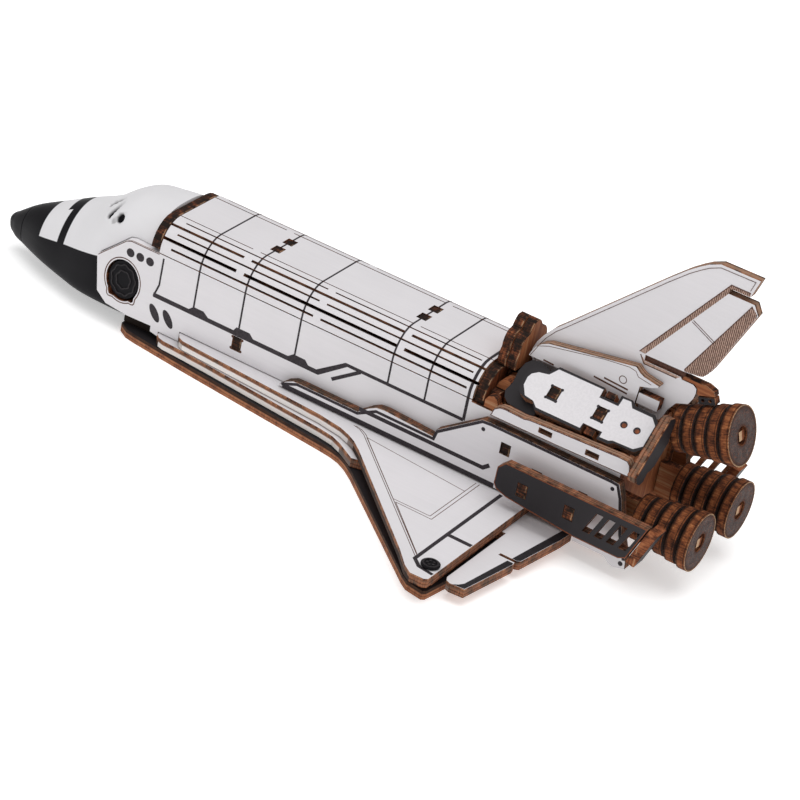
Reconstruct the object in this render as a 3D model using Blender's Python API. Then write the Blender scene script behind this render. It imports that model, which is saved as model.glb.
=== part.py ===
"""Plywood model of a delta-winged space shuttle orbiter, with a moulded nose shell.

Frame: millimetres here, metres in the scene. +X runs aft, +Y to starboard, +Z up.
The origin is on the floor, in the middle of the model's length and width.
The model rests on its flat belly board.
"""
from math import cos, pi, radians, sin

import bmesh
import bpy
from mathutils import Matrix, Vector
from mathutils.geometry import tessellate_polygon

MM = 0.001

# Sheet: boards are PLY thick and lie PITCH apart, so a seam of SEAM is left between them
PLY = 2.7
SEAM = 0.3
PITCH = PLY + SEAM

# Whole model
AFT_SHIFT = 1.05
NOSE_TIP_X = -117.8

# Hull: a box of plywood with rounded top corners
HULL_HALF = 16.5
HULL_INNER = HULL_HALF - PLY
FRAME_HALF = HULL_INNER - SEAM
DECK_Z = 3 * PITCH
WALL_TOP_Z = 29.5
ROOF_Z = 38.2
ROOF_FLAT_HALF = 8.4
ROOF_FRONT_X = -57.3
ROOF_REAR_X = 44.2
COLLAR_X = (-60.4, -57.6)
PLATE_OUTER = HULL_HALF + PITCH

# Colours
WHITE_PRINT = (0.80, 0.79, 0.80)
BLACK_PRINT = (0.035, 0.032, 0.036)
BURNT_PLY = (0.20, 0.075, 0.028)
SMOOTH_WHITE = (0.82, 0.81, 0.81)
SMOOTH_BLACK = (0.015, 0.014, 0.016)


def clear_scene():
    for thing in list(bpy.data.objects):
        bpy.data.objects.remove(thing, do_unlink=True)


def paint(name, colour, roughness):
    material = bpy.data.materials.new(name)
    material.use_nodes = True
    shader = material.node_tree.nodes["Principled BSDF"]
    shader.inputs["Base Color"].default_value = (*colour, 1.0)
    shader.inputs["Roughness"].default_value = roughness
    shader.inputs["Metallic"].default_value = 0.0
    return material


def add_piece(name, mesh_data, colour, roughness=0.6):
    """Turns a bmesh in millimetres into a named object with its own material."""
    bmesh.ops.recalc_face_normals(mesh_data, faces=mesh_data.faces)
    if mesh_data.calc_volume(signed=True) < 0:
        bmesh.ops.reverse_faces(mesh_data, faces=mesh_data.faces)
    bmesh.ops.transform(mesh_data, matrix=Matrix.Translation((AFT_SHIFT, 0, 0)), verts=mesh_data.verts)
    bmesh.ops.transform(mesh_data, matrix=Matrix.Scale(MM, 4), verts=mesh_data.verts)
    mesh = bpy.data.meshes.new(name)
    mesh_data.to_mesh(mesh)
    mesh_data.free()
    piece = bpy.data.objects.new(name, mesh)
    bpy.context.scene.collection.objects.link(piece)
    mesh.materials.append(paint(name + "_finish", colour, roughness))
    return piece


def area(loop):
    ends = zip(loop, loop[1:] + loop[:1])
    return sum(a[0] * b[1] - b[0] * a[1] for a, b in ends) / 2


def board(outline, holes, low, high, place):
    """A flat board: outline and holes are (u, v) loops, place(u, v, w) gives the point at depth w."""
    mesh_data = bmesh.new()
    loops = [outline if area(outline) > 0 else outline[::-1]]
    loops += [hole if area(hole) < 0 else hole[::-1] for hole in holes]
    flat = [point for loop in loops for point in loop]
    lower = [mesh_data.verts.new(place(u, v, low)) for u, v in flat]
    upper = [mesh_data.verts.new(place(u, v, high)) for u, v in flat]
    for a, b, c in tessellate_polygon([[Vector((u, v, 0)) for u, v in loop] for loop in loops]):
        mesh_data.faces.new((upper[a], upper[b], upper[c]))
        mesh_data.faces.new((lower[c], lower[b], lower[a]))
    start = 0
    for loop in loops:
        for i in range(len(loop)):
            a = start + i
            b = start + (i + 1) % len(loop)
            mesh_data.faces.new((lower[a], lower[b], upper[b], upper[a]))
        start += len(loop)
    return mesh_data


def level(u, v, w):
    """u runs along X, v along Y, depth is height."""
    return (u, v, w)


def upright(u, v, w):
    """u runs along X, v is height, depth runs along Y."""
    return (u, w, v)


def across(u, v, w):
    """u runs along Y, v is height, depth runs along X."""
    return (w, u, v)


def circle(u, v, radius, count=24):
    return [(u + radius * cos(2 * pi * i / count), v + radius * sin(2 * pi * i / count)) for i in range(count)]


def ellipse(u, v, across_half, up_half, count=32):
    turns = [2 * pi * i / count for i in range(count)]
    return [(u + across_half * cos(turn), v + up_half * sin(turn)) for turn in turns]


def rectangle(u0, v0, u1, v1):
    return [(u0, v0), (u1, v0), (u1, v1), (u0, v1)]


def mirrored(half):
    """Closes an outline given for +v by its mirror image in -v."""
    return half + [(u, -v) for u, v in reversed(half) if abs(v) > 1e-6]


def both_sides():
    """Port is -Y, starboard is +Y."""
    return (("port", -1), ("starboard", 1))


def wall_board(name, side, sign, outline, holes, outer, colour):
    """An upright board whose outer face is at outer and whose thickness is PLY inward."""
    low, high = sorted((sign * outer, sign * (outer - PLY)))
    add_piece(side + "_" + name, board(outline, holes, low, high, upright), colour)


# Belly: three boards, the widest at the bottom
WING_REAR_X = 67.7
BELLY = [(-66.5, 0.0), (-66.5, 15.1), (-63.3, 17.2), (-60.0, 17.9), (-43.0, 20.15), (7.5, 26.0), (11.5, 26.6),
         (14.5, 27.5), (17.6, 29.2), (21.5, 32.2), (57.7, 64.4), (60.3, 66.3), (65.5, 67.2), (66.3, 66.4),
         (67.5, 57.4), (67.5, 0.0)]
STRAKE = [(-55.0, 0.0), (-55.0, 13.4), (-53.3, 13.4), (-53.3, 17.2), (-51.8, 18.6), (-49.9, 19.2),
          (-45.9, 19.4), (-36.2, 20.2), (5.9, 24.6), (10.5, 25.4), (13.9, 27.0), (20.0, 30.9), (24.5, 29.5)]
ELEVON = [(56.0, 60.0), (60.5, 64.0), (66.0, 64.0), (66.0, 31.2), (68.7, 31.2), (68.6, 61.0), (69.3, 62.4),
          (70.6, 63.0), (74.8, 62.6), (77.7, 42.9), (77.5, 41.7), (72.6, 41.7), (72.6, 40.6), (77.5, 40.6),
          (78.4, 40.0), (80.7, 22.6), (81.0, 17.0), (70.5, 17.0), (70.5, 13.4), (90.0, 13.4), (90.0, 0.0)]
WING = [(-46.6, 0.0), (-46.6, 16.9), (-45.3, 18.7), (-43.5, 19.6), (-37.1, 20.1), (4.2, 23.0), (11.8, 24.4),
        (15.4, 25.9), (18.1, 27.5), (21.4, 30.3), (55.1, 63.4), (60.1, 68.9), (62.8, 70.9), (66.8, 70.7),
        (WING_REAR_X, 69.9), (WING_REAR_X, 0.0)]
BUTTON = (64.8, 64.2)
BUTTON_RADIUS = 2.6
BUTTON_HEIGHT = 0.4
NOSE_BLOCK = [(-66.5, 0.0), (-66.5, 14.2), (-57.5, 14.2), (-57.5, 0.0)]


def build_belly():
    for layer, name, half, colour in (
            (0, "belly_board", BELLY, BLACK_PRINT),
            (1, "strake_board", STRAKE + ELEVON, WHITE_PRINT),
            (1, "nose_block", NOSE_BLOCK, BLACK_PRINT),
            (2, "wing_board", WING, WHITE_PRINT)):
        add_piece(name, board(mirrored(half), [], layer * PITCH, layer * PITCH + PLY, level), colour)
    for side, sign in both_sides():
        button = circle(BUTTON[0], sign * BUTTON[1], BUTTON_RADIUS)
        add_piece(side + "_wing_button", board(button, [], DECK_Z, DECK_Z + BUTTON_HEIGHT, level), SMOOTH_BLACK)


# Nose shell sections. Shoulder is the height of the widest point as a share of the section's height.
# Roundness 2 is an ellipse, and higher numbers fill the corners out.
NOSE_SECTIONS = (
    # station, half width, low, high, shoulder, roundness above, roundness below
    (-117.0, 1.4, 6.4, 10.5, 0.70, 2.0, 2.2),
    (-115.0, 2.9, 4.8, 12.2, 0.66, 2.0, 2.3),
    (-110.4, 5.2, 3.7, 15.8, 0.59, 2.0, 2.5),
    (-102.0, 9.3, 3.2, 20.5, 0.46, 2.1, 2.9),
    (-92.0, 12.5, 3.0, 25.9, 0.31, 2.1, 3.3),
    (-83.0, 15.2, 3.0, 30.4, 0.27, 2.4, 3.6),
    (-79.0, 15.9, 3.0, 33.7, 0.27, 2.5, 3.7),
    (-73.5, 16.2, 3.0, 36.9, 0.26, 2.7, 3.8),
    (-67.0, 16.0, 3.0, 38.0, 0.26, 2.9, 4.0),
    (-60.8, 16.0, 3.0, 38.6, 0.25, 3.1, 4.2),
)
NOSE_POINTS = 40
TIP_CAP_X = (-110.5, -110.2)

WALL_REAR_X = 90.0
WALL_FOOT = [(-53.7, 6.0), (-53.7, 4.5), (-56.3, 5.0), (-56.3, 6.7)]
WALL_OUTLINE = [(-76.9, 20.0), (-76.2, 21.3), (-68.1, 28.7), (-66.2, 29.2), (ROOF_REAR_X, 29.2),
                (ROOF_REAR_X, 28.6), (WALL_REAR_X, 28.3), (WALL_REAR_X, DECK_Z), (-46.9, DECK_Z),
                (-46.9, 6.0)] + WALL_FOOT + [(-64.9, 6.4), (-71.9, 7.1), (-75.3, 9.8)]
HATCH = (-67.6, 16.2)
HATCH_RADII = (5.5, 6.3)
HATCH_LUGS = (-128.0, -48.0)
BOSS_RADII = (4.9, 5.7)


def squared_ring(half_width, low, high, shoulder, above, below):
    """One section of the nose, as (y, z) points."""
    middle = low + shoulder * (high - low)
    ring = []
    for i in range(NOSE_POINTS):
        angle = 2 * pi * i / NOSE_POINTS
        c, s = cos(angle), sin(angle)
        power, reach = (above, high - middle) if s >= 0 else (below, middle - low)
        y = half_width * abs(c) ** (2 / power) * (1 if c >= 0 else -1)
        z = middle + reach * abs(s) ** (2 / power) * (1 if s >= 0 else -1)
        ring.append((y, z))
    return ring


def section_at(x):
    """The nose section at a station, between the two rows of the table around it."""
    for a, b in zip(NOSE_SECTIONS, NOSE_SECTIONS[1:]):
        if a[0] <= x <= b[0]:
            t = (x - a[0]) / (b[0] - a[0])
            return (x,) + tuple(p + t * (q - p) for p, q in zip(a[1:], b[1:]))
    raise ValueError("station outside the nose")


def loft(sections, tip_x=None):
    """Skins the sections in order, with a fan to a tip or a flat cap at each end."""
    mesh_data = bmesh.new()
    rings = [[mesh_data.verts.new((s[0], y, z)) for y, z in squared_ring(*s[1:])] for s in sections]
    for a, b in zip(rings, rings[1:]):
        for i in range(NOSE_POINTS):
            j = (i + 1) % NOSE_POINTS
            mesh_data.faces.new((a[i], a[j], b[j], b[i]))
    mesh_data.faces.new(rings[-1])
    if tip_x is None:
        mesh_data.faces.new(rings[0][::-1])
    else:
        tip = mesh_data.verts.new((tip_x, 0, (sections[0][2] + sections[0][3]) / 2))
        for i in range(NOSE_POINTS):
            mesh_data.faces.new((tip, rings[0][(i + 1) % NOSE_POINTS], rings[0][i]))
    return mesh_data


def cut(piece, cutter):
    """Subtracts a hidden cutter from a piece."""
    cutter.hide_render = True
    cutter.display_type = "WIRE"
    modifier = piece.modifiers.new("cut by " + cutter.name, "BOOLEAN")
    modifier.operation = "DIFFERENCE"
    modifier.solver = "EXACT"
    modifier.object = cutter


def hatch_loop():
    """The hatch in a side wall: an oval with two lugs at its lower corners."""
    loop = []
    for i in range(48):
        angle = 360.0 * i / 48
        away = min(abs((angle - lug + 180) % 360 - 180) for lug in HATCH_LUGS)
        swell = 1.0 + 0.14 * max(0.0, 1.0 - (away / 11.0) ** 2)
        u = HATCH_RADII[0] * swell * cos(radians(angle))
        v = HATCH_RADII[1] * swell * sin(radians(angle))
        loop.append((HATCH[0] + u, HATCH[1] + v))
    return loop


def build_nose():
    front = [s for s in NOSE_SECTIONS if s[0] < TIP_CAP_X[0]] + [section_at(TIP_CAP_X[0])]
    rear = [section_at(TIP_CAP_X[1])] + [s for s in NOSE_SECTIONS if s[0] > TIP_CAP_X[1]]
    cap = add_piece("nose_tip_cap", loft(front, NOSE_TIP_X), SMOOTH_BLACK, 0.35)
    shell = add_piece("nose_shell", loft(rear), SMOOTH_WHITE, 0.4)
    for piece in (cap, shell):
        piece.data.set_sharp_from_angle(angle=radians(40))
    grown = [(-77.3, 20.2), (-76.5, 21.6), (-68.3, 29.1), (-66.0, 29.6), (-50.0, 29.6), (-50.0, 2.0),
             (-64.9, 2.0), (-72.2, 6.8), (-75.7, 9.5)]
    for side, sign in both_sides():
        low, high = sorted((sign * FRAME_HALF, sign * 30.0))
        cut(shell, add_piece(side + "_wall_recess", board(grown, [], low, high, upright), BLACK_PRINT))
        low, high = sorted((sign * HULL_INNER, sign * (HULL_HALF - 0.5)))
        boss = board(ellipse(*HATCH, *BOSS_RADII), [], low, high, upright)
        add_piece(side + "_nose_boss", boss, SMOOTH_BLACK)
    under = board(rectangle(-66.8, 0.0, -50.0, 2 * PITCH), [], -20.0, 20.0, upright)
    cut(shell, add_piece("block_recess", under, BLACK_PRINT))


# Roof: one sheet bent over the hull along kerfs, which are cut right through in dashes.
# Angles are round the corner, 0 at the flat top's edge and 90 at the wall.
KERFS = (
    # angle, width, dashes
    (75.0, 0.60, "even"),
    (60.0, 0.90, "odd"),
    (45.0, 0.50, "even"),
    (30.0, 0.80, "odd"),
    (15.0, 0.45, "even"),
    (0.0, 0.35, "odd"),
)
DASHES = {
    "odd": ((ROOF_FRONT_X, -33.2), (-30.7, 18.8), (21.2, ROOF_REAR_X)),
    "even": ((-54.0, -7.1), (-4.7, 41.8)),
    "tab": ((-30.05, -26.95), (17.45, 20.55)),
    "whole": (),
}
TAB_HALF = 1.35
ROOF_TAB_Y = (1.5, 4.6)
TAB_PLAY = 0.2
FRAME_X = (-28.5, 19.0)
CORNER_RADII = (HULL_HALF - ROOF_FLAT_HALF, ROOF_Z - WALL_TOP_Z)
MEAN_RADIUS = sum(CORNER_RADII) / 2


def hull_point(angle, inset):
    """A point of the hull's section at an angle round the corner, moved inward by inset."""
    if angle < 0:
        return (ROOF_FLAT_HALF + radians(angle) * MEAN_RADIUS, ROOF_Z - inset)
    y = ROOF_FLAT_HALF + (CORNER_RADII[0] - inset) * sin(radians(angle))
    z = WALL_TOP_Z + (CORNER_RADII[1] - inset) * cos(radians(angle))
    return (y, z)


def hull_arc(inset, lowest=90.0, steps=6):
    """The corner from the wall up to the flat top."""
    return [hull_point(lowest * (1 - i / steps), inset) for i in range(steps + 1)]


def roof_strips():
    """Lengthwise edges of the roof's strips from starboard to port, and each strip's dashes."""
    edges = [(hull_point(90.0, 0.0), hull_point(90.0, PLY))]
    kinds = []
    for angle, width, dashes in KERFS:
        half = width / 2 / radians(1.0) / MEAN_RADIUS
        edges += [(hull_point(angle + half, 0.0), hull_point(angle + half, PLY)),
                  (hull_point(angle - half, 0.0), hull_point(angle - half, PLY))]
        kinds += ["whole", dashes]
    for y in (ROOF_TAB_Y[1] + TAB_PLAY, ROOF_TAB_Y[0] - TAB_PLAY):
        edges.append(((y, ROOF_Z), (y, ROOF_Z - PLY)))
    kinds += ["whole", "tab"]
    far = [tuple((-y, z) for y, z in edge) for edge in reversed(edges)]
    return edges + far, kinds + ["whole"] + kinds[::-1]


def build_roof():
    """The sheet is a grid of strips by stations, with its open cells left out."""
    edges, kinds = roof_strips()
    stations = sorted({x for spans in DASHES.values() for span in spans for x in span})
    mesh_data = bmesh.new()
    outer = [[mesh_data.verts.new((x, *edge[0])) for x in stations] for edge in edges]
    inner = [[mesh_data.verts.new((x, *edge[1])) for x in stations] for edge in edges]

    def solid(i, j):
        if not (0 <= i < len(kinds) and 0 <= j < len(stations) - 1):
            return False
        middle = (stations[j] + stations[j + 1]) / 2
        return not any(a < middle < b for a, b in DASHES[kinds[i]])

    for i in range(len(kinds)):
        for j in range(len(stations) - 1):
            if not solid(i, j):
                continue
            for skin in (outer, inner):
                mesh_data.faces.new((skin[i][j], skin[i + 1][j], skin[i + 1][j + 1], skin[i][j + 1]))
            for di, dj, a, b in ((-1, 0, (i, j), (i, j + 1)), (1, 0, (i + 1, j), (i + 1, j + 1)),
                                 (0, -1, (i, j), (i + 1, j)), (0, 1, (i, j + 1), (i + 1, j + 1))):
                if not solid(i + di, j + dj):
                    side = [outer[a[0]][a[1]], outer[b[0]][b[1]], inner[b[0]][b[1]], inner[a[0]][a[1]]]
                    mesh_data.faces.new(side)
    loose = [v for v in mesh_data.verts if not v.link_faces]
    bmesh.ops.delete(mesh_data, geom=loose, context="VERTS")
    add_piece("roof_wrap", mesh_data, WHITE_PRINT)


# Stations of the cross ribs, whose arms go out through the walls, and of the tabs in the walls
CROSS_RIB_X = (68.1, 82.3)
ARM_Z = (14.5, 18.1)
WALL_TAB_Z = (11.4, 15.4)
THIRD_FRAME_X = 58.0
THIRD_TAB_Z = (20.0, 23.1)


def slot(x, z_range, play=TAB_PLAY):
    """An opening for a board's tab at a station."""
    return rectangle(x - TAB_HALF - play, z_range[0] - play, x + TAB_HALF + play, z_range[1] + play)


def cross_board(name, half, x, colour=BURNT_PLY):
    """An upright board across the hull, given by the starboard half of its outline from the middle's foot."""
    outline = half + [(-y, z) for y, z in reversed(half) if abs(y) > 1e-6]
    add_piece(name, board(outline, [], x - PLY / 2, x + PLY / 2, across), colour)


def build_walls():
    """The two side walls, the collars at the roof's ends and the frames inside."""
    arms = [slot(x, ARM_Z) for x in CROSS_RIB_X]
    holes = [hatch_loop(), slot(FRAME_X[0], WALL_TAB_Z), slot(THIRD_FRAME_X, THIRD_TAB_Z)] + arms
    for side, sign in both_sides():
        wall_board("wall", side, sign, WALL_OUTLINE, holes, HULL_HALF, WHITE_PRINT)
    collar = [(FRAME_HALF, 6.0), (FRAME_HALF, 30.3)] + hull_arc(0.2, 85.0)
    cross_board("front_collar", collar, sum(COLLAR_X) / 2)
    roof_tab = [(ROOF_TAB_Y[1], ROOF_Z - PITCH), (ROOF_TAB_Y[1], ROOF_Z - 0.2),
                (ROOF_TAB_Y[0], ROOF_Z - 0.2), (ROOF_TAB_Y[0], ROOF_Z - PITCH)]
    wall_tab = [(FRAME_HALF, WALL_TAB_Z[0]), (HULL_HALF - 0.2, WALL_TAB_Z[0]),
                (HULL_HALF - 0.2, WALL_TAB_Z[1]), (FRAME_HALF, WALL_TAB_Z[1])]
    for i, x in enumerate(FRAME_X):
        foot = [(FRAME_HALF, DECK_Z)] + (wall_tab if i == 0 else [])
        cross_board("hull_frame_%d" % (i + 1), foot + hull_arc(PITCH) + roof_tab, x)
    third_tab = [(FRAME_HALF, THIRD_TAB_Z[0]), (PLATE_OUTER - 0.3, THIRD_TAB_Z[0]),
                 (PLATE_OUTER - 0.3, THIRD_TAB_Z[1]), (FRAME_HALF, THIRD_TAB_Z[1])]
    cross_board("hull_frame_3", [(FRAME_HALF, DECK_Z)] + third_tab + [(FRAME_HALF, 28.4)], THIRD_FRAME_X)
    rim = [(FRAME_HALF, DECK_Z), (FRAME_HALF, 28.9), (15.6, 28.9)] + hull_arc(0.9)
    cross_board("rear_collar", rim, REAR_COLLAR_X)
    inset = 3.0
    ring = [(FRAME_HALF - 0.3, DECK_Z)] + hull_arc(inset)[:3] + [(5.0, 32.3), (5.0, 35.2)]
    cross_board("rear_ring", ring, REAR_COLLAR_X + PITCH)


# Aft hull: a proud plate on each side wall, whose front runs on as a strip along the wing's root
REAR_COLLAR_X = 45.85
SIDE_PLATE = [(-11.8, 9.3), (-9.9, 11.1), (-7.5, 12.3), (-5.2, 12.4), (13.3, 12.4), (14.7, 13.4), (16.4, 14.8),
              (18.7, 16.1), (21.2, 16.4), (36.9, 15.6), (37.1, 17.7), (38.7, 18.9), (49.8, 26.9), (52.2, 27.1),
              (89.5, 27.0), (91.6, 26.8), (93.2, 22.9), (95.5, 13.0), (98.3, 5.9), (98.5, 3.8), (95.0, 3.0),
              (93.6, 3.5), (92.0, 4.9), (82.4, 4.9), (82.4, 9.3)]
PLANK_OUTLINE = [(62.1, 22.0), (104.8, 22.0), (100.7, 11.4), (98.6, 10.4), (85.0, 10.4), (70.0, 11.8),
                 (63.9, 12.5), (60.7, 13.6), (59.8, 15.0), (59.9, 19.9)]
PLANK_OUTER = 26.0
PLANK_SLOTS_X = (87.1, 90.7, 94.3, 98.0)
PLANK_SLOT = [(0.0, 13.3), (2.2, 13.3), (5.0, 19.9), (2.9, 19.9)]
PLANK_END = [(105.2, 21.8), (107.8, 21.2), (103.4, 9.8), (100.8, 10.4)]
PLANK_END_DEPTH = 5.0
ENGINE_PLATE_X = 87.95


def build_aft_hull():
    arms = [slot(x, ARM_Z) for x in CROSS_RIB_X]
    for side, sign in both_sides():
        holes = arms + [slot(THIRD_FRAME_X, THIRD_TAB_Z)]
        wall_board("side_plate", side, sign, SIDE_PLATE, holes, PLATE_OUTER, WHITE_PRINT)
        openings = [[(x + u, v) for u, v in PLANK_SLOT] for x in PLANK_SLOTS_X]
        wall_board("side_plank", side, sign, PLANK_OUTLINE, arms + openings, PLANK_OUTER, BLACK_PRINT)
        low, high = sorted((sign * PLANK_OUTER, sign * (PLANK_OUTER - PLANK_END_DEPTH)))
        add_piece(side + "_plank_end", board(PLANK_END, [], low, high, upright), BURNT_PLY)
    rib = [(FRAME_HALF, DECK_Z), (FRAME_HALF, ARM_Z[0]), (PLANK_OUTER, ARM_Z[0]), (PLANK_OUTER, ARM_Z[1]),
           (FRAME_HALF, ARM_Z[1]), (FRAME_HALF, 28.4)]
    for i, x in enumerate(CROSS_RIB_X):
        cross_board("cross_rib_%d" % (i + 1), rib, x)
    plate = [(FRAME_HALF, 6.0), (FRAME_HALF, 25.0), (10.0, 36.0)]
    cross_board("engine_plate", plate, ENGINE_PLATE_X)


# Pods: a main plate tilted out over the hull's shoulder, on a cheek board, with a side strip and a rear plate.
# Their outlines are (x, distance up the slope from the main plate's lower edge).
POD_TILT = radians(41)
POD_EDGE = (16.5, 35.0)
POD_MIDDLE = 6.3
POD_PLATE_TOP = [(55.0, 6.3), (55.4, 9.0), (56.4, 10.4), (58.2, 11.1), (60.5, 10.9), (62.4, 13.2), (76.2, 13.2),
                 (76.2, 10.8), (81.2, 10.8), (81.2, 13.2), (84.6, 13.2), (86.0, 12.1), (91.9, 12.1),
                 (94.0, 10.0)]
POD_CHEEK = [(52.0, 4.8), (51.7, 8.5), (52.2, 11.3), (53.6, 12.9), (55.6, 13.3), (57.3, 13.0), (59.4, 12.2),
             (62.0, 12.2), (62.0, -2.0), (59.1, -2.0), (56.4, -1.1), (53.7, -0.8), (52.1, 0.4), (51.3, 2.2)]
POD_RIB_X = (64.7, 78.6)
POD_REAR = [(-6.9, 0.2), (-6.3, 2.4), (12.0, 2.4), (13.4, 0.4), (13.4, -1.0), (12.4, -1.9), (9.6, -3.2),
            (8.7, -4.6), (1.3, -4.6), (-1.0, -3.6), (-2.2, -2.6), (-4.6, -3.2), (-6.3, -2.0)]
POD_REAR_X = (94.4, 97.1)
STRIP_SLOTS = (
    # front, low, rear, high
    (66.0, 30.7, 70.1, 32.3),
    (80.2, 30.6, 84.3, 32.3),
)
POD_STRIP = [(51.6, 29.2), (73.0, 29.4), (94.0, 29.9), (93.5, 31.8), (93.2, 33.2), (92.3, 34.2), (89.9, 34.3),
             (72.0, 33.5), (63.0, 33.0), (61.3, 32.6), (55.4, 32.8), (53.9, 32.6), (52.3, 31.5)]
POD_FORMER = [(47.6, 32.7), (48.2, 34.4), (49.2, 35.5), (50.6, 35.9), (51.5, 35.4), (51.5, 29.0), (50.6, 29.0),
              (50.6, 32.7)]
POD_RAIL = [(47.8, 28.9), (47.8, 31.0), (48.6, 32.3), (50.0, 32.8), (51.0, 32.3), (51.6, 30.8), (53.0, 29.5),
            (54.9, 29.3), (54.9, 28.9)]


def pod_section(v, w):
    """(y, z) of a point up the pod's slope at a depth square to the plate, on the starboard side."""
    y = POD_EDGE[0] - v * cos(POD_TILT) + w * sin(POD_TILT)
    z = POD_EDGE[1] + v * sin(POD_TILT) + w * cos(POD_TILT)
    return (y, z)


def pod_place(sign):
    """Places a board of the pod: u runs along X, v up the slope."""
    def place(u, v, w):
        y, z = pod_section(v, w)
        return (u, sign * y, z)
    return place


def pod_rib(edge_tabs):
    """Half outline of a board across the hull that carries both pods, with tabs up through their plates."""
    slope = [(16.2, 28.7), (16.2, 31.2)]
    tabs = [(POD_MIDDLE - 1.6, POD_MIDDLE + 1.6)]
    if edge_tabs:
        tabs = [(-0.3, 1.5)] + tabs + [(11.1, 12.9)]
    for low, high in tabs:
        slope += [pod_section(v, w) for v, w in ((low, -PITCH), (low, -0.2), (high, -0.2), (high, -PITCH))]
    return slope + [(4.8, 40.9), (4.8, 38.3)]


def build_pods():
    outline = POD_PLATE_TOP + [(u, 2 * POD_MIDDLE - v) for u, v in reversed(POD_PLATE_TOP) if v != POD_MIDDLE]
    outline = [(u, max(v, -0.4)) for u, v in outline]
    tabs = [rectangle(x - 1.55, POD_MIDDLE - 1.8, x + 1.55, POD_MIDDLE + 1.8) for x in POD_RIB_X]
    holes = [circle(x, POD_MIDDLE, 1.1, 16) for x in (85.7, 89.5)]
    strip_slots = [rectangle(*row) for row in STRIP_SLOTS]
    for side, sign in both_sides():
        place = pod_place(sign)
        add_piece(side + "_pod_plate", board(outline, tabs + holes, -PLY, 0.0, place), WHITE_PRINT)
        add_piece(side + "_pod_cheek", board(POD_CHEEK, [], -PITCH - PLY, -PITCH, place), BLACK_PRINT)
        rear = [(sign * y, z) for y, z in (pod_section(v, w) for v, w in POD_REAR)]
        add_piece(side + "_pod_rear", board(rear, [], *POD_REAR_X, across), BLACK_PRINT)
        wall_board("pod_strip", side, sign, POD_STRIP, strip_slots, PLATE_OUTER, WHITE_PRINT)
        low, high = sorted((sign * 5.1, sign * 10.8))
        add_piece(side + "_pod_former", board(POD_FORMER, [], low, high, upright), BURNT_PLY)
        low, high = sorted((sign * HULL_INNER, sign * 16.2))
        add_piece(side + "_pod_rail", board(POD_RAIL, [], low, high, upright), BURNT_PLY)
    for i, x in enumerate(POD_RIB_X):
        cross_board("pod_rib_%d" % (i + 1), pod_rib(i == 1), x)


# Fin: one board, whose rudder is set off by a slot above it and one below it, with a doubler and a lug on each
# side of its foot, two braces before it, and a spine over its aft corner
FIN_FRONT = [(52.3, 38.6), (51.2, 40.3), (51.2, 42.4), (52.1, 45.0), (53.6, 47.5), (55.9, 50.4), (58.6, 53.0),
             (83.8, 77.9), (88.7, 82.5), (91.5, 84.7), (93.8, 86.3), (96.9, 87.7), (108.4, 87.8)]
FIN_TIP_REAR = [(107.1, 83.6), (106.7, 82.4), (100.8, 82.4), (100.8, 80.9)]
RUDDER_REAR = [(108.4, 80.9), (110.0, 78.3), (101.6, 58.6), (100.7, 56.9), (99.7, 55.7), (98.5, 55.3),
               (94.0, 54.8), (82.8, 54.7)]
FIN_FOOT = [(82.8, 53.0), (93.7, 53.0), (94.2, 52.4), (97.6, 52.4), (98.7, 51.6), (98.8, 50.4), (98.5, 48.6),
            (97.4, 46.5), (94.2, 45.3), (92.3, 42.5), (91.6, 40.4), (90.6, 38.6)]
FIN_DOUBLER = [(51.9, 41.8), (52.2, 42.8), (53.2, 44.8), (54.8, 46.4), (56.8, 47.4), (82.3, 52.0), (83.8, 50.8),
               (85.0, 50.2), (89.7, 49.4), (89.5, 48.9), (87.5, 48.0), (84.5, 47.1), (84.2, 42.7), (84.2, 38.6),
               (63.0, 38.6), (63.0, 41.8)]
FIN_LUG = [(84.75, 45.4), (90.9, 45.4), (90.7, 42.2), (84.55, 42.2)]
BRACE = [(7.6, 37.6), (8.0, 39.5), (7.6, 41.2), (6.9, 42.4), (6.9, 43.9), (6.4, 45.3), (5.3, 46.6), (3.2, 47.2),
         (2.7, 48.2), (1.9, 49.3), (1.0, 50.0)]
BRACE_X = (46.25, 49.25)
TAIL_SPINE = [(94.5, 52.7), (94.5, 53.5), (101.2, 53.5), (103.6, 52.7), (104.1, 51.6), (99.6, 50.2),
              (99.1, 50.5), (99.0, 51.8), (97.8, 52.7)]
TAIL_BRACKET = [(99.7, 49.8), (104.2, 51.2), (104.9, 49.5), (100.4, 47.9)]
BRACKET_HOLES = ((101.2, 49.3), (103.2, 50.0))
BRACKET_HOLE_RADIUS = 0.5


def build_fin():
    core = PLY / 2
    fin = FIN_FRONT + FIN_TIP_REAR + RUDDER_REAR + FIN_FOOT
    add_piece("fin_board", board(fin, [], -core, core, upright), WHITE_PRINT)
    for side, sign in both_sides():
        wall_board("fin_doubler", side, sign, FIN_DOUBLER, [], core + PITCH, WHITE_PRINT)
        wall_board("fin_lug", side, sign, FIN_LUG, [], core + PITCH, WHITE_PRINT)
    for i, x in enumerate(BRACE_X):
        cross_board("fin_brace_%d" % (i + 1), BRACE, x)
    add_piece("tail_spine", board(TAIL_SPINE, [], -core, core, upright), BURNT_PLY)
    holes = [circle(x, z, BRACKET_HOLE_RADIUS, 12) for x, z in BRACKET_HOLES]
    add_piece("tail_bracket", board(TAIL_BRACKET, holes, -core, core, upright), BURNT_PLY)


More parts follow.
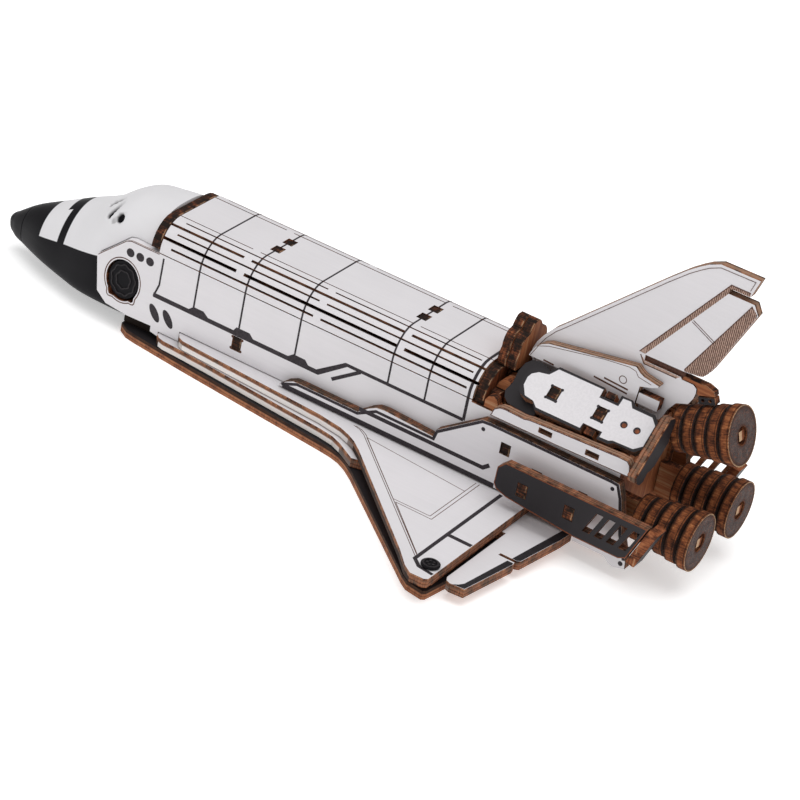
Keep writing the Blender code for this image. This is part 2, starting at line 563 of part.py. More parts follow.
# Engines: each is a stack of discs that shrink toward the front, with a square rod end in its middle
ENGINES = (
    # name, centre of the rear face, tilt up in degrees
    ("top_engine", (113.6, 0.0, 43.9), 18.0),
    ("port_engine", (114.0, -11.5, 16.2), 1.0),
    ("starboard_engine", (114.0, 11.5, 16.2), 1.0),
)
DISC_RADII = (8.2, 7.7, 7.2, 6.8, 6.4)
DISC_PITCH = 3.8
DISC_THICKNESS = 2.6
CORE_RADIUS = 4.4
BORE_RADIUS = 2.6
BORE_DEPTH = 2.0
ROD_HALF = 1.3
ROD_LENGTH = 6.0
MOUNT_X = (89.65, 95.6)
MOUNT_Z = (10.5, 20.3)
ENGINE_POINTS = 32


def build_engine(name, rear, tilt):
    """A stack of discs about the local X axis, aimed and set down at its rear centre."""
    profile = [(-BORE_DEPTH, BORE_RADIUS), (0.0, BORE_RADIUS)]
    for i, radius in enumerate(DISC_RADII):
        back = -i * DISC_PITCH
        profile += [(back, radius), (back - DISC_THICKNESS, radius)]
        if radius != DISC_RADII[-1]:
            profile += [(back - DISC_THICKNESS, CORE_RADIUS), (back - DISC_PITCH, CORE_RADIUS)]
    aim = Matrix.Translation(rear) @ Matrix.Rotation(-radians(tilt), 4, "Y")
    mesh_data = bmesh.new()
    rings = []
    for x, radius in profile:
        turns = [2 * pi * k / ENGINE_POINTS for k in range(ENGINE_POINTS)]
        rings.append([mesh_data.verts.new((x, radius * cos(turn), radius * sin(turn))) for turn in turns])
    for a, b in zip(rings, rings[1:]):
        for k in range(ENGINE_POINTS):
            j = (k + 1) % ENGINE_POINTS
            mesh_data.faces.new((a[k], a[j], b[j], b[k]))
    mesh_data.faces.new(rings[-1][::-1])
    stub = rectangle(-ROD_HALF, -ROD_HALF, ROD_HALF, ROD_HALF)
    foot = [mesh_data.verts.new((-BORE_DEPTH, y, z)) for y, z in stub]
    end = [mesh_data.verts.new((-0.3, y, z)) for y, z in stub]
    for k in range(4):
        j = (k + 1) % 4
        mesh_data.faces.new((foot[k], foot[j], end[j], end[k]))
    mesh_data.faces.new(end)
    loops = [[Vector((*v.co.yz, 0)) for v in rings[0]], [Vector((*v.co.yz, 0)) for v in foot[::-1]]]
    floor = rings[0] + foot[::-1]
    for triangle in tessellate_polygon(loops):
        mesh_data.faces.new([floor[k] for k in triangle])
    bmesh.ops.transform(mesh_data, matrix=aim, verts=mesh_data.verts)
    add_piece(name, mesh_data, BURNT_PLY)
    return aim


def build_engines():
    """The top engine is carried on a rod, and each lower one on an upright board, behind the engine plate."""
    aims = [build_engine(*engine) for engine in ENGINES]
    front = -(len(DISC_RADII) - 1) * DISC_PITCH - DISC_THICKNESS - SEAM
    rod = board(rectangle(-ROD_HALF, -ROD_HALF, ROD_HALF, ROD_HALF), [], front - ROD_LENGTH, front, across)
    bmesh.ops.transform(rod, matrix=aims[0], verts=rod.verts)
    add_piece("top_engine_rod", rod, BURNT_PLY)
    mount = rectangle(MOUNT_X[0], MOUNT_Z[0], MOUNT_X[1], MOUNT_Z[1])
    for side, sign in both_sides():
        wall_board("engine_mount", side, sign, mount, [], ENGINES[2][1][1] + PLY / 2, BURNT_PLY)


clear_scene()
build_belly()
build_nose()
build_roof()
build_walls()
build_aft_hull()
build_pods()
build_fin()
build_engines()
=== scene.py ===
"""Looks of a laser-cut plywood shuttle orbiter model with a moulded nose shell.

Sizes are in millimetres in the model's own drawing frame, where X runs aft, Y to starboard and Z up.
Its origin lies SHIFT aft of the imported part's, and everything is set down in metres.
"""

import logging
import math
from dataclasses import dataclass, field, replace
from enum import Enum
from functools import cached_property
from typing import Callable, Optional, Sequence, Union

import bmesh
import bpy
import numpy as np
from mathutils import Matrix, Vector
from mathutils.geometry import tessellate_polygon


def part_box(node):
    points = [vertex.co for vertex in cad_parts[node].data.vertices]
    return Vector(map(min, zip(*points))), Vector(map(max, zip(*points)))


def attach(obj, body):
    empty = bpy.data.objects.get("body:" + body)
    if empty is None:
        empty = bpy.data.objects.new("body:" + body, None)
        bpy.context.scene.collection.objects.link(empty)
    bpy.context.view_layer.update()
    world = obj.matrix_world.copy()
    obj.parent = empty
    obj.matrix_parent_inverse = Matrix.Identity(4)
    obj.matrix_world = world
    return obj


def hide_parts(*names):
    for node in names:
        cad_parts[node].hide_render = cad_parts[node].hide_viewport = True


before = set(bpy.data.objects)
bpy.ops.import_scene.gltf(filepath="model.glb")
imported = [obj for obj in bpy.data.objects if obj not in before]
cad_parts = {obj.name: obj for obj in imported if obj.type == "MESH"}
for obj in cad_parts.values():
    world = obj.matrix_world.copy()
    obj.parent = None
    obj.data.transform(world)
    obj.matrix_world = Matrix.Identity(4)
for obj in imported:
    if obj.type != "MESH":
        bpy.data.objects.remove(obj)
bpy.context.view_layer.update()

log = logging.getLogger("shuttle")

Point = tuple[float, float]
Triple = tuple[float, float, float]
Colour = Triple
Line = Sequence[Point]

MM = 0.001
SHIFT = 1.05
PLY = 2.7
HULL_HALF = 16.5
PLATE_OUTER = 19.5
PLANK_OUTER = 26.0
ROOF_FLAT_HALF = 8.4
ROOF_INNER_RADIUS = 5.7
WALL_TOP_Z = 29.5
STRAKE_TOP = 5.7
WING_TOP = 8.7
BUTTON_TOP = 9.4
FIN_HALF = 1.35
SILL_HALF = 0.75
DOUBLER_OUTER = 4.35
POD_TILT = math.radians(41)
POD_EDGE: Point = (16.5, 35.0)
STATIONS = (-43.75, -28.6, -10.2, 18.95, 30.6)
END_LINE = 43.0

WHITE: Colour = (0.690, 0.668, 0.686)
BLACK: Colour = (0.022, 0.019, 0.021)
SLATE: Colour = (0.030, 0.024, 0.028)


class Side(Enum):
    """The two sides of the model, by the sign of Y."""

    port = -1
    starboard = 1


class Board(Enum):
    """How a sheet of plywood lies, which tells its faces from its cut edges."""

    level = "level"
    upright = "upright"
    across = "across"
    pod = "pod"
    roof = "roof"

# Shader expressions


def operator(operation: str, reflected: bool = False) -> Callable[["Signal", "Operand"], "Signal"]:
    """Makes a method of Signal that adds one Math node.

    Args:
        operation: the node's operation.
        reflected: whether the other operand comes first.

    Returns:
        The method.
    """
    def apply(self: "Signal", other: "Operand") -> "Signal":
        """Puts the two operands in order and combines them."""
        return self.combine(operation, *((other, self) if reflected else (self, other)))

    return apply


@dataclass(frozen=True)
class Signal:
    """A value, vector or colour in a material, which can be used in Python expressions."""

    graph: "Graph"
    socket: bpy.types.NodeSocket
    wide: bool = False

    __add__, __radd__ = operator("ADD"), operator("ADD", True)
    __sub__, __rsub__ = operator("SUBTRACT"), operator("SUBTRACT", True)
    __mul__, __rmul__ = operator("MULTIPLY"), operator("MULTIPLY", True)
    __truediv__, __rtruediv__ = operator("DIVIDE"), operator("DIVIDE", True)
    __pow__, __rpow__ = operator("POWER"), operator("POWER", True)
    most = operator("MAXIMUM")

    def combine(self, operation: str, first: "Operand", second: "Operand") -> "Signal":
        """Adds a Math node, or a Vector Math node where an operand is a vector or colour.

        Args:
            operation: the node's operation.
            first: its first operand.
            second: its second operand.

        Returns:
            The node's result.
        """
        pair = (first, second)
        wide = any(isinstance(v, tuple) or (isinstance(v, Signal) and v.wide) for v in pair)
        kind = "ShaderNodeVectorMath" if wide else "ShaderNodeMath"
        if wide:
            pair = tuple((v, v, v) if isinstance(v, (int, float)) else v for v in pair)
        return self.graph.signal(kind, dict(enumerate(pair)), wide=wide, operation=operation)

    def __neg__(self) -> "Signal":
        """Opposite."""
        return self * -1.0

    def __abs__(self) -> "Signal":
        """Size without its sign."""
        return self.combine("ABSOLUTE", self, 0.0)

    def fract(self) -> "Signal":
        """What is left over the whole number below."""
        return self.combine("FRACT", self, 0.0)

    def dot(self, other: "Operand") -> "Signal":
        """Dot product of two vectors."""
        values = {0: self, 1: other}
        return self.graph.signal("ShaderNodeVectorMath", values, "Value", operation="DOT_PRODUCT")

    def ramp(self, low: float, high: float) -> "Signal":
        """Goes smoothly from 0 at low to 1 at high."""
        values = {"Value": self, "From Min": low, "From Max": high}
        return self.graph.signal("ShaderNodeMapRange", values, "Result", interpolation_type="SMOOTHSTEP")

    def band(self, middle: float, half: float, soft: float) -> "Signal":
        """1 within half of the middle, with soft edges."""
        return 1.0 - abs(self - middle).ramp(half - soft, half + soft)

    def mix(self, low: "Operand", high: "Operand") -> "Signal":
        """Colour that goes from low, where this mask is 0, to high, where it is 1."""
        values = {0: self, 6: low, 7: high}
        return self.graph.signal("ShaderNodeMix", values, 2, True, data_type="RGBA", clamp_factor=True)

    @cached_property
    def parts(self) -> bpy.types.NodeOutputs:
        """Outputs of the one node that splits this vector."""
        return self.graph.node("ShaderNodeSeparateXYZ", {0: self}).outputs

    @property
    def x(self) -> "Signal":
        """First component."""
        return Signal(self.graph, self.parts["X"])

    @property
    def y(self) -> "Signal":
        """Second component."""
        return Signal(self.graph, self.parts["Y"])

    @property
    def z(self) -> "Signal":
        """Third component."""
        return Signal(self.graph, self.parts["Z"])


Operand = Union[Signal, int, float, tuple]


class Graph:
    """One material and the nodes that dress it."""

    def __init__(self, name: str, roughness: float, specular: float) -> None:
        """Starts a material with a plain Principled shader.

        Args:
            name: the material's name.
            roughness: the shader's own roughness.
            specular: the shader's own specular level.
        """
        self.material = bpy.data.materials.new(name)
        self.material.use_nodes = True
        self.tree = self.material.node_tree
        self.shader = self.tree.nodes["Principled BSDF"]
        self.shader.inputs["Roughness"].default_value = roughness
        self.shader.inputs["Specular IOR Level"].default_value = specular

    def node(self, kind: str, values: dict, **settings: object) -> bpy.types.Node:
        """Adds a node.

        Args:
            kind: the node's type.
            values: values or signals for its sockets, by name or number.
            **settings: its properties, which are set first.

        Returns:
            The new node.
        """
        node = self.tree.nodes.new(kind)
        for name, setting in settings.items():
            setattr(node, name, setting)
        for key, value in values.items():
            self.feed(node.inputs[key], value)
        return node

    def signal(self, kind: str, values: dict, output: Union[int, str] = 0, wide: bool = False,
               **settings: object) -> Signal:
        """Adds a node with its sockets' values and its properties, and wraps one of its outputs."""
        return Signal(self, self.node(kind, values, **settings).outputs[output], wide)

    def feed(self, socket: bpy.types.NodeSocket, value: Operand) -> None:
        """Links a signal to a socket, or sets the socket's own value.

        Args:
            socket: the socket.
            value: the signal or value.
        """
        if isinstance(value, Signal):
            self.tree.links.new(value.socket, socket)
        elif isinstance(value, tuple) and len(socket.default_value) == 4:
            socket.default_value = (*value, 1.0)
        else:
            socket.default_value = value

    def attribute(self, name: str) -> Signal:
        """A value that the mesh carries at its vertices."""
        return self.signal("ShaderNodeAttribute", {}, "Fac", attribute_name=name)

    def join(self, x: Operand, y: Operand, z: Operand) -> Signal:
        """A vector from its three components."""
        return self.signal("ShaderNodeCombineXYZ", {0: x, 1: y, 2: z}, 0, True)

    @cached_property
    def place(self) -> Signal:
        """Position in the drawing frame, in millimetres."""
        return self.signal("ShaderNodeTexCoord", {}, "Object", True) * (1 / MM) - (SHIFT, 0.0, 0.0)

    @cached_property
    def facing(self) -> Signal:
        """The surface's own direction."""
        return self.signal("ShaderNodeNewGeometry", {}, "True Normal", True)

    def noise(self, scale: Union[float, Triple], detail: float, roughness: float,
              at: Optional[Signal] = None) -> Signal:
        """Cloudy noise about 0.5.

        Args:
            scale: features per millimetre, one number or one for each axis.
            detail: octaves.
            roughness: how strong the finer octaves are.
            at: where it is read, or none for the surface's own place.

        Returns:
            The noise as a value.
        """
        values = {"Vector": (at or self.place) * scale, "Scale": 1.0, "Detail": detail,
                  "Roughness": roughness}
        return self.signal("ShaderNodeTexNoise", values, "Fac")

    def colours(self, mask: Signal, stops: Sequence[tuple[float, Colour]]) -> Signal:
        """A ramp of colours along a value.

        Args:
            mask: the value.
            stops: positions and colours in rising order.

        Returns:
            The colour.
        """
        node = self.node("ShaderNodeValToRGB", {"Fac": mask})
        elements = node.color_ramp.elements
        for _ in stops[len(elements):]:
            elements.new(0.5)
        for element, (position, colour) in zip(elements, stops):
            element.position = position
            element.color = (*colour, 1.0)
        return Signal(self, node.outputs["Color"], True)

    def finish(self, colour: Operand, roughness: Optional[Signal] = None, relief: Optional[Signal] = None,
               height: float = 0.0, strength: float = 1.0) -> bpy.types.Material:
        """Feeds the shader.

        Args:
            colour: base colour.
            roughness: varying roughness, or none to keep the constant.
            relief: height map from 0 to 1, or none for a smooth surface.
            height: the relief's full height in millimetres.
            strength: how much of it shows.

        Returns:
            The finished material.
        """
        self.feed(self.shader.inputs["Base Color"], colour)
        if roughness is not None:
            self.feed(self.shader.inputs["Roughness"], roughness)
        if relief is not None:
            values = {"Strength": strength, "Distance": height * MM, "Height": relief}
            self.feed(self.shader.inputs["Normal"], self.signal("ShaderNodeBump", values, "Normal"))
        return self.material


# Finishes


@dataclass(frozen=True)
class Wood:
    """Colours of laser-cut plywood."""

    soot: Colour = (0.011, 0.006, 0.004)
    char: Colour = (0.052, 0.018, 0.009)
    toast: Colour = (0.190, 0.055, 0.021)
    amber: Colour = (0.340, 0.125, 0.050)
    tan: Colour = (0.500, 0.330, 0.190)
    veneer: Colour = (0.560, 0.420, 0.290)
    core: Colour = (0.420, 0.270, 0.185)
    ply: Colour = (0.760, 0.725, 0.700)


WOOD = Wood()

# Middle, half width and softness of the layers that show on a cut edge, as parts of the thickness
LOW_GLUE, HIGH_GLUE, RIM = (0.34, 0.035, 0.03), (0.68, 0.035, 0.03), (0.90, 0.045, 0.03)
LOW_PALE, HIGH_PALE = (0.20, 0.13, 0.06), (0.60, 0.17, 0.06)

# Features per millimetre along each axis, of the laser's marks and of the wood's grain
MARKS = {Board.level: (3.4, 3.4, 0.22), Board.across: (0.22, 3.4, 3.4), Board.upright: (3.4, 0.22, 3.4)}
SLANTED_MARKS = (3.4, 1.4, 1.4)
GRAIN = {Board.across: (1.0, 1.1, 0.09), Board.roof: (0.06, 1.2, 1.2)}
LONG_GRAIN = (0.07, 1.3, 1.3)


@dataclass(frozen=True)
class Plywood:
    """A laser-cut sheet: printed or bare on its faces, burnt on its cut edges."""

    name: str  # of the material, or in a table the end of its nodes' names
    board: Board
    ink: Optional[Colour] = None
    start: Optional[float] = None  # where its back lies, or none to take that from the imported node
    warmth: float = 0.5  # how lightly its edges are burnt
    scorch: float = 0.5  # how darkly its bare faces are burnt
    pale: float = 0.0  # how much its pale layers show
    soot: float = 0.0  # how sooty the outer part of its edges is
    foot: float = 0.0  # how pale the inner part of its edges is, and how dark where they face ahead, which is painted shade
    lip: Optional[float] = None  # station up to which its upper edge is white
    side: Side = Side.port

    def depth(self, graph: Graph) -> tuple[Signal, Signal]:
        """How deep a point lies in the sheet, and how squarely the surface faces along that depth.

        Args:
            graph: the material's graph.

        Returns:
            The depth from 0 at the back to 1 at the outer face, and how squarely the surface faces outward.
        """
        place, facing = graph.place, graph.facing
        if self.board is Board.level:
            along, face = place.z, facing.z
        elif self.board is Board.upright:
            along, face = abs(place.y), facing.y * self.side.value if self.start > 0 else abs(facing.y)
        elif self.board is Board.across:
            along, face = place.x, abs(facing.x)
        elif self.board is Board.pod:
            normal = (0.0, self.side.value * math.sin(POD_TILT), math.cos(POD_TILT))
            base = POD_EDGE[0] * math.sin(POD_TILT) + POD_EDGE[1] * math.cos(POD_TILT)
            along, face = place.dot(normal) - base, facing.dot(normal)
        else:
            y = (abs(place.y) - ROOF_FLAT_HALF).most(0.0)
            z = place.z - WALL_TOP_Z
            reach = (y * y + z * z) ** 0.5
            outward = abs(facing.y) * y / reach + facing.z * z / reach
            return (reach - ROOF_INNER_RADIUS) / PLY, outward
        return (along - self.start) / PLY, face

    def edge_colour(self, graph: Graph, depth: Signal, marks: Signal) -> Signal:
        """Burnt colour of a cut edge, with its layers and the laser's marks.

        Args:
            graph: the material's graph.
            depth: depth in the sheet.
            marks: the laser's marks.

        Returns:
            The colour.
        """
        blotches = graph.noise(0.42, 3.0, 0.6)
        heat = blotches * 0.95 + marks * 0.65 + (self.warmth - 0.5) * 0.5 - 0.3
        burnt = graph.colours(heat, (
            (0.26, WOOD.soot), (0.40, WOOD.char), (0.55, WOOD.toast), (0.76, WOOD.amber)))
        wander = depth + (marks - 0.5) * 0.10 + (blotches - 0.5) * 0.08
        glue = wander.band(*LOW_GLUE).most(wander.band(*HIGH_GLUE))
        rim = wander.band(*RIM) * blotches.ramp(0.40, 0.60)
        pale = wander.band(*HIGH_PALE).most(wander.band(*LOW_PALE)) * (0.75 + marks * 0.5)
        edge = (glue * 0.7).mix(burnt, WOOD.soot)
        edge = (rim * 0.55).mix(edge, WOOD.tan)
        edge = (pale * self.pale).mix(edge, WOOD.core)
        edge = (wander.ramp(0.58, 0.70) * self.soot).mix(edge, WOOD.soot)
        # Painted shade: the inner part of edges that face ahead takes the soot colour; near the front,
        # edges that don't face ahead get pale wood instead.
        if self.foot:
            ahead = (-graph.facing.x).ramp(0.35, 0.60)
            strake = 1.0 - graph.place.x.ramp(14.0, 20.0)
            shown = (1.0 - wander.ramp(0.46, 0.58)) * ahead.most(strake) * self.foot
            edge = shown.mix(edge, ahead.mix(WOOD.ply, WOOD.soot))
        if self.lip is not None:
            upper = graph.facing.z.ramp(0.3, 0.4) * graph.place.z.ramp(20.0, 20.2)
            forward = 1.0 - graph.place.x.ramp(self.lip - 0.1, self.lip + 0.1)
            edge = (upper * forward * (1.0 - depth.ramp(0.86, 0.90))).mix(edge, WHITE)
        return edge

    def make(self) -> bpy.types.Material:
        """Builds the material.

        Returns:
            The finished material.
        """
        graph = Graph(self.name, 0.6, 0.18)
        marks = graph.noise(MARKS.get(self.board, SLANTED_MARKS), 2.0, 0.7)
        grain = graph.noise(GRAIN.get(self.board, LONG_GRAIN), 4.0, 0.65)
        cloud = graph.noise(0.06, 2.0, 0.5)
        depth, outward = self.depth(graph)
        face, printed = abs(outward).ramp(0.60, 0.75), outward.ramp(0.60, 0.75)
        bare = graph.colours(grain * 0.8 + cloud * 0.3 - 0.05 - (self.scorch - 0.5) * 0.5, (
            (0.12, WOOD.char), (0.34, WOOD.toast), (0.55, WOOD.amber), (0.80, WOOD.tan)))
        colour = face.mix(self.edge_colour(graph, depth, marks), bare)
        if self.ink is not None:
            low, high = (tuple(min(1.0, k * c) for c in self.ink) for k in (0.97, 1.02))
            sheet = (grain * 0.5 + cloud * 0.5).ramp(0.3, 0.7).mix(low, high)
            if self.board is Board.roof:
                lines = graph.place.x.band(END_LINE, 0.45, 0.06)
                for station in STATIONS:
                    lines = lines.most(graph.place.x.band(station, 0.28, 0.06))
                sheet = lines.mix(sheet, SLATE)
            colour = printed.mix(colour, sheet)
        edge_shine, face_shine = 0.80, 0.62 if self.ink is None else 0.50
        roughness = face * (face_shine - edge_shine + grain * 0.10) + edge_shine - marks * 0.08
        relief = face * (grain * 0.06 + 0.5) + (1.0 - face) * marks
        return graph.finish(colour, roughness, relief, 0.10, 0.7)


@dataclass(frozen=True)
class Ink:
    """Printed ink or burnt lines, and the material slot that they belong to."""

    colour: Colour
    slot: str
    mottle: float = 0.25
    relief: float = 0.3
    roughness: float = 0.55

    def make(self, name: str) -> bpy.types.Material:
        """Builds the material.

        Args:
            name: its name.

        Returns:
            The finished material.
        """
        graph = Graph(name, self.roughness, 0.18)
        specks = graph.noise(1.6, 3.0, 0.6)
        low, high = (tuple(min(1.0, c * (1 + k * self.mottle)) for c in self.colour) for k in (-1, 1))
        colour = specks.ramp(0.35, 0.65).mix(low, high)
        return graph.finish(colour, self.roughness + (specks - 0.5) * 0.15, specks, 0.01, self.relief)


WHITE_INK = Ink(WHITE, "white_printed_ply", 0.03, 0.05)
SLATE_INK = Ink(SLATE, "black_printed_ply")
BLACK_INK = Ink(BLACK, "black_printed_ply")
KNOB_BLACK = Ink(BLACK, "moulded_black")
TAN = Ink((0.400, 0.270, 0.215), "bare_burnt_ply")
TOASTED = Ink(WOOD.toast, "bare_burnt_ply")
BURNT = Ink((0.085, 0.036, 0.024), "bare_burnt_ply")


@dataclass(frozen=True)
class Moulding:
    """Satin moulded plastic: black, or with the nose's white and black fields and painted shade in its
    recesses.
    """

    name: str
    white: bool = False
    tip: float = -101.4  # station where the black tip ends
    band: Point = (-92.65, 1.35)  # middle and half width of the black band
    step: Point = (-94.2, 1.4)  # the same of the step ahead of it
    step_half: Point = (5.2, 5.4)  # where the step fades out to each side
    waist: Point = (0.26, 13.2)  # slope of the black side's upper edge, and its height at the tip's end
    soft: float = 0.12

    def make(self) -> bpy.types.Material:
        """Builds the material.

        Returns:
            The finished material.
        """
        graph = Graph(self.name, 0.45, 0.05)
        grit = graph.noise(5.0, 2.0, 0.6)
        cloud = graph.noise(0.12, 3.0, 0.5)
        black = cloud.mix((0.007, 0.007, 0.008), (0.013, 0.012, 0.014))
        if not self.white:
            return graph.finish(black, 0.44 + (cloud - 0.5) * 0.2, grit, 0.02, 0.6)
        x, y, z = graph.place.x, graph.place.y, graph.place.z
        slope, height = self.waist
        mask = 1.0 - x.ramp(self.tip - self.soft, self.tip + self.soft)
        mask = mask.most(x.band(*self.band, self.soft))
        mask = mask.most(x.band(*self.step, self.soft) * (1.0 - abs(y).ramp(*self.step_half)))
        mask = mask.most(1.0 - (z - (x - self.tip) * slope - height).ramp(-self.soft, self.soft))
        # Painted shade: the cockpit recesses and the round port turn black with their depth.
        mask = mask.most(graph.attribute("recess").ramp(0.10, 1.05))
        white = cloud.mix((0.690, 0.680, 0.694), (0.735, 0.725, 0.740))
        roughness = 0.46 - mask * 0.04 + (cloud - 0.5) * 0.12
        return graph.finish(mask.mix(white, black), roughness, grit, 0.02, 0.5)


@dataclass(frozen=True)
class EngineWood:
    """Charred discs: streaked rims, gaps painted dark as shade, and speckled rear faces with a pale rod
    end.
    """

    name: str
    rear: Triple  # middle of the rear face
    tilt: float  # how far it points up, in degrees
    pitch: float = 3.8
    thickness: float = 2.6
    radius: float = 8.2
    core: float = 4.5  # radius of the middle between the discs, which is painted dark as shade
    stub: float = 1.9  # radius of the rod's end

    def make(self) -> bpy.types.Material:
        """Builds the material.

        Returns:
            The finished material.
        """
        graph = Graph(self.name, 0.8, 0.12)
        lean = math.radians(self.tilt)
        spot = graph.place - self.rear
        along = spot.dot((math.cos(lean), 0.0, math.sin(lean)))
        height = spot.dot((-math.sin(lean), 0.0, math.cos(lean)))
        radius = (height * height + spot.y * spot.y) ** 0.5
        local = (-along / self.pitch).fract() * self.pitch
        backward = graph.facing.dot((math.cos(lean), 0.0, math.sin(lean))).ramp(0.6, 0.8)
        streaks = graph.noise((2.2, 2.2, 0.25), 4.0, 0.8, graph.join(spot.y, height, along))
        blotches = graph.noise(0.5, 3.0, 0.6)
        grit = graph.noise(3.0, 4.0, 0.75)
        specks = graph.noise(2.4, 2.0, 0.6).ramp(0.56, 0.64)

        rim = graph.colours(streaks * 0.75 + blotches * 0.5 - 0.12, (
            (0.30, WOOD.soot), (0.42, (0.065, 0.021, 0.011)),
            (0.54, (0.200, 0.062, 0.023)), (0.70, (0.400, 0.160, 0.062))))
        lips = local.band(0.45, 0.14, 0.12).most(local.band(self.thickness, 0.45, 0.25))
        rim = (lips * (0.5 + streaks * 0.8) * 0.85).mix(rim, WOOD.soot)
        # Painted shade: the spacer between the discs takes the soot colour.
        gap = (local - self.thickness - 0.05).ramp(-0.08, 0.08)
        rim = (gap * (1.0 - radius.ramp(self.core, self.core + 0.4))).mix(rim, WOOD.soot)

        face = graph.colours(grit * 0.8 + blotches * 0.4 - 0.1, (
            (0.28, (0.016, 0.010, 0.009)), (0.45, (0.060, 0.044, 0.042)),
            (0.60, (0.105, 0.080, 0.074)), (0.75, (0.190, 0.140, 0.118))))
        outer = radius.ramp(self.radius - 1.6, self.radius - 0.5)
        face = (outer.most(1.0 - radius.ramp(2.7, 3.6)) * 0.75).mix(face, WOOD.char)
        # A pale tan line round the rim of the rear face.
        pale_rim = radius.ramp(self.radius - 0.42, self.radius - 0.22) * grit.ramp(0.35, 0.60)
        face = pale_rim.mix(face, WOOD.tan)
        face = (specks * radius.band(6.2, 0.5, 0.25)).mix(face, (0.190, 0.080, 0.055))
        face = (specks * 0.5).mix(face, WOOD.toast)

        stub = (1.0 - radius.ramp(self.stub, self.stub + 0.1)) * backward * (along + 0.8).ramp(0.0, 0.2)
        pale = spot.y.ramp(0.1, 0.5).mix((0.520, 0.330, 0.200), WOOD.toast)
        colour = (stub * (0.6 + grit * 0.6)).mix(backward.mix(rim, face), pale)
        return graph.finish(colour, 0.86 - streaks * 0.1, streaks * 0.6 + grit * 0.4, 0.14, 0.8)


# Mesh helpers


def put(name: str, data: bpy.types.ID) -> bpy.types.Object:
    """Puts a new object with some data into the scene.

    Args:
        name: the object's name.
        data: its mesh, light or camera.

    Returns:
        The object.
    """
    thing = bpy.data.objects.new(name, data)
    bpy.context.scene.collection.objects.link(thing)
    return thing


def link_mesh(name: str, mesh_data: bmesh.types.BMesh, material: bpy.types.Material) -> bpy.types.Object:
    """Turns a bmesh in drawing millimetres into a piece that rides on the model.

    Args:
        name: the piece's name.
        mesh_data: its mesh, which is used up.
        material: its finish.

    Returns:
        The new object.
    """
    bmesh.ops.recalc_face_normals(mesh_data, faces=mesh_data.faces)
    bmesh.ops.transform(mesh_data, matrix=Matrix.Scale(MM, 4) @ Matrix.Translation((SHIFT, 0, 0)),
                        verts=mesh_data.verts)
    mesh = bpy.data.meshes.new(name)
    mesh_data.to_mesh(mesh)
    mesh_data.free()
    mesh.materials.append(material)
    piece = put(name, mesh)
    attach(piece, "root")
    return piece


def hermite(xs: Sequence[float], ys: Sequence[float], at: np.ndarray) -> np.ndarray:
    """Smooth curve through points, with slopes from their neighbours.

    Args:
        xs: stations in rising order.
        ys: values at the stations.
        at: where it is read.

    Returns:
        The values.
    """
    xs_, ys_ = np.asarray(xs, float), np.asarray(ys, float)
    slopes = np.gradient(ys_, xs_)
    k = np.clip(np.searchsorted(xs_, at) - 1, 0, len(xs_) - 2)
    width = xs_[k + 1] - xs_[k]
    t = (at - xs_[k]) / width
    return ((2 * t**3 - 3 * t**2 + 1) * ys_[k] + (t**3 - 2 * t**2 + t) * width * slopes[k]
            + (3 * t**2 - 2 * t**3) * ys_[k + 1] + (t**3 - t**2) * width * slopes[k + 1])


def offset(path: Line, distance: float, closed: bool = False) -> list[Point]:
    """Moves a flat path sideways, with mitred corners.

    Args:
        path: its points.
        distance: how far, to the left.
        closed: whether its ends meet.

    Returns:
        The moved points.
    """
    points, moved = [Vector(p) for p in path], []
    for i, point in enumerate(points):
        before = points[i - 1] if closed or i else None
        after = points[(i + 1) % len(points)] if closed or i < len(points) - 1 else None
        lefts = [Vector((a.y - b.y, b.x - a.x)).normalized()
                 for a, b in ((before, point), (point, after)) if a is not None and b is not None]
        normal = sum(lefts, Vector((0.0, 0.0))).normalized()
        moved.append(tuple(point + normal * (distance / max(0.4, normal.dot(lefts[0])))))
    return moved


def oval(middle: Point, radii: Point, turn: float = 0.0, steps: int = 28,
         swell: Optional[Callable[[float], float]] = None) -> list[Point]:
    """Points round an ellipse.

    Args:
        middle: its centre.
        radii: half of its length and half of its width.
        turn: direction of its length in degrees.
        steps: number of points.
        swell: factor on the radii at an angle in degrees, for a rim that isn't smooth.

    Returns:
        The points.
    """
    c, s = math.cos(math.radians(turn)), math.sin(math.radians(turn))
    loop = []
    for k in range(steps):
        degrees = 360.0 * k / steps
        factor = swell(degrees) if swell else 1.0
        a, b = (r * factor * f(math.radians(degrees)) for r, f in zip(radii, (math.cos, math.sin)))
        loop.append((middle[0] + a * c - b * s, middle[1] + a * s + b * c))
    return loop


@dataclass(frozen=True)
class Face:
    """An upright, level or slanted face of the model, which places flat points on it."""

    board: Board
    level: float
    side: Side

    def at(self, u: float, v: float, lift: float) -> Vector:
        """Point on the face, lifted off it.

        Args:
            u: distance aft.
            v: distance up, outward on a level board, or up the slope of a pod.
            lift: height over the face.

        Returns:
            The point in the drawing frame.
        """
        way = self.side.value
        if self.board is Board.level:
            return Vector((u, way * v, self.level + lift))
        if self.board is Board.upright:
            return Vector((u, way * (self.level + lift), v))
        run, rise = math.cos(POD_TILT), math.sin(POD_TILT)
        return Vector((u, way * (POD_EDGE[0] - v * run + lift * rise), POD_EDGE[1] + v * rise + lift * run))


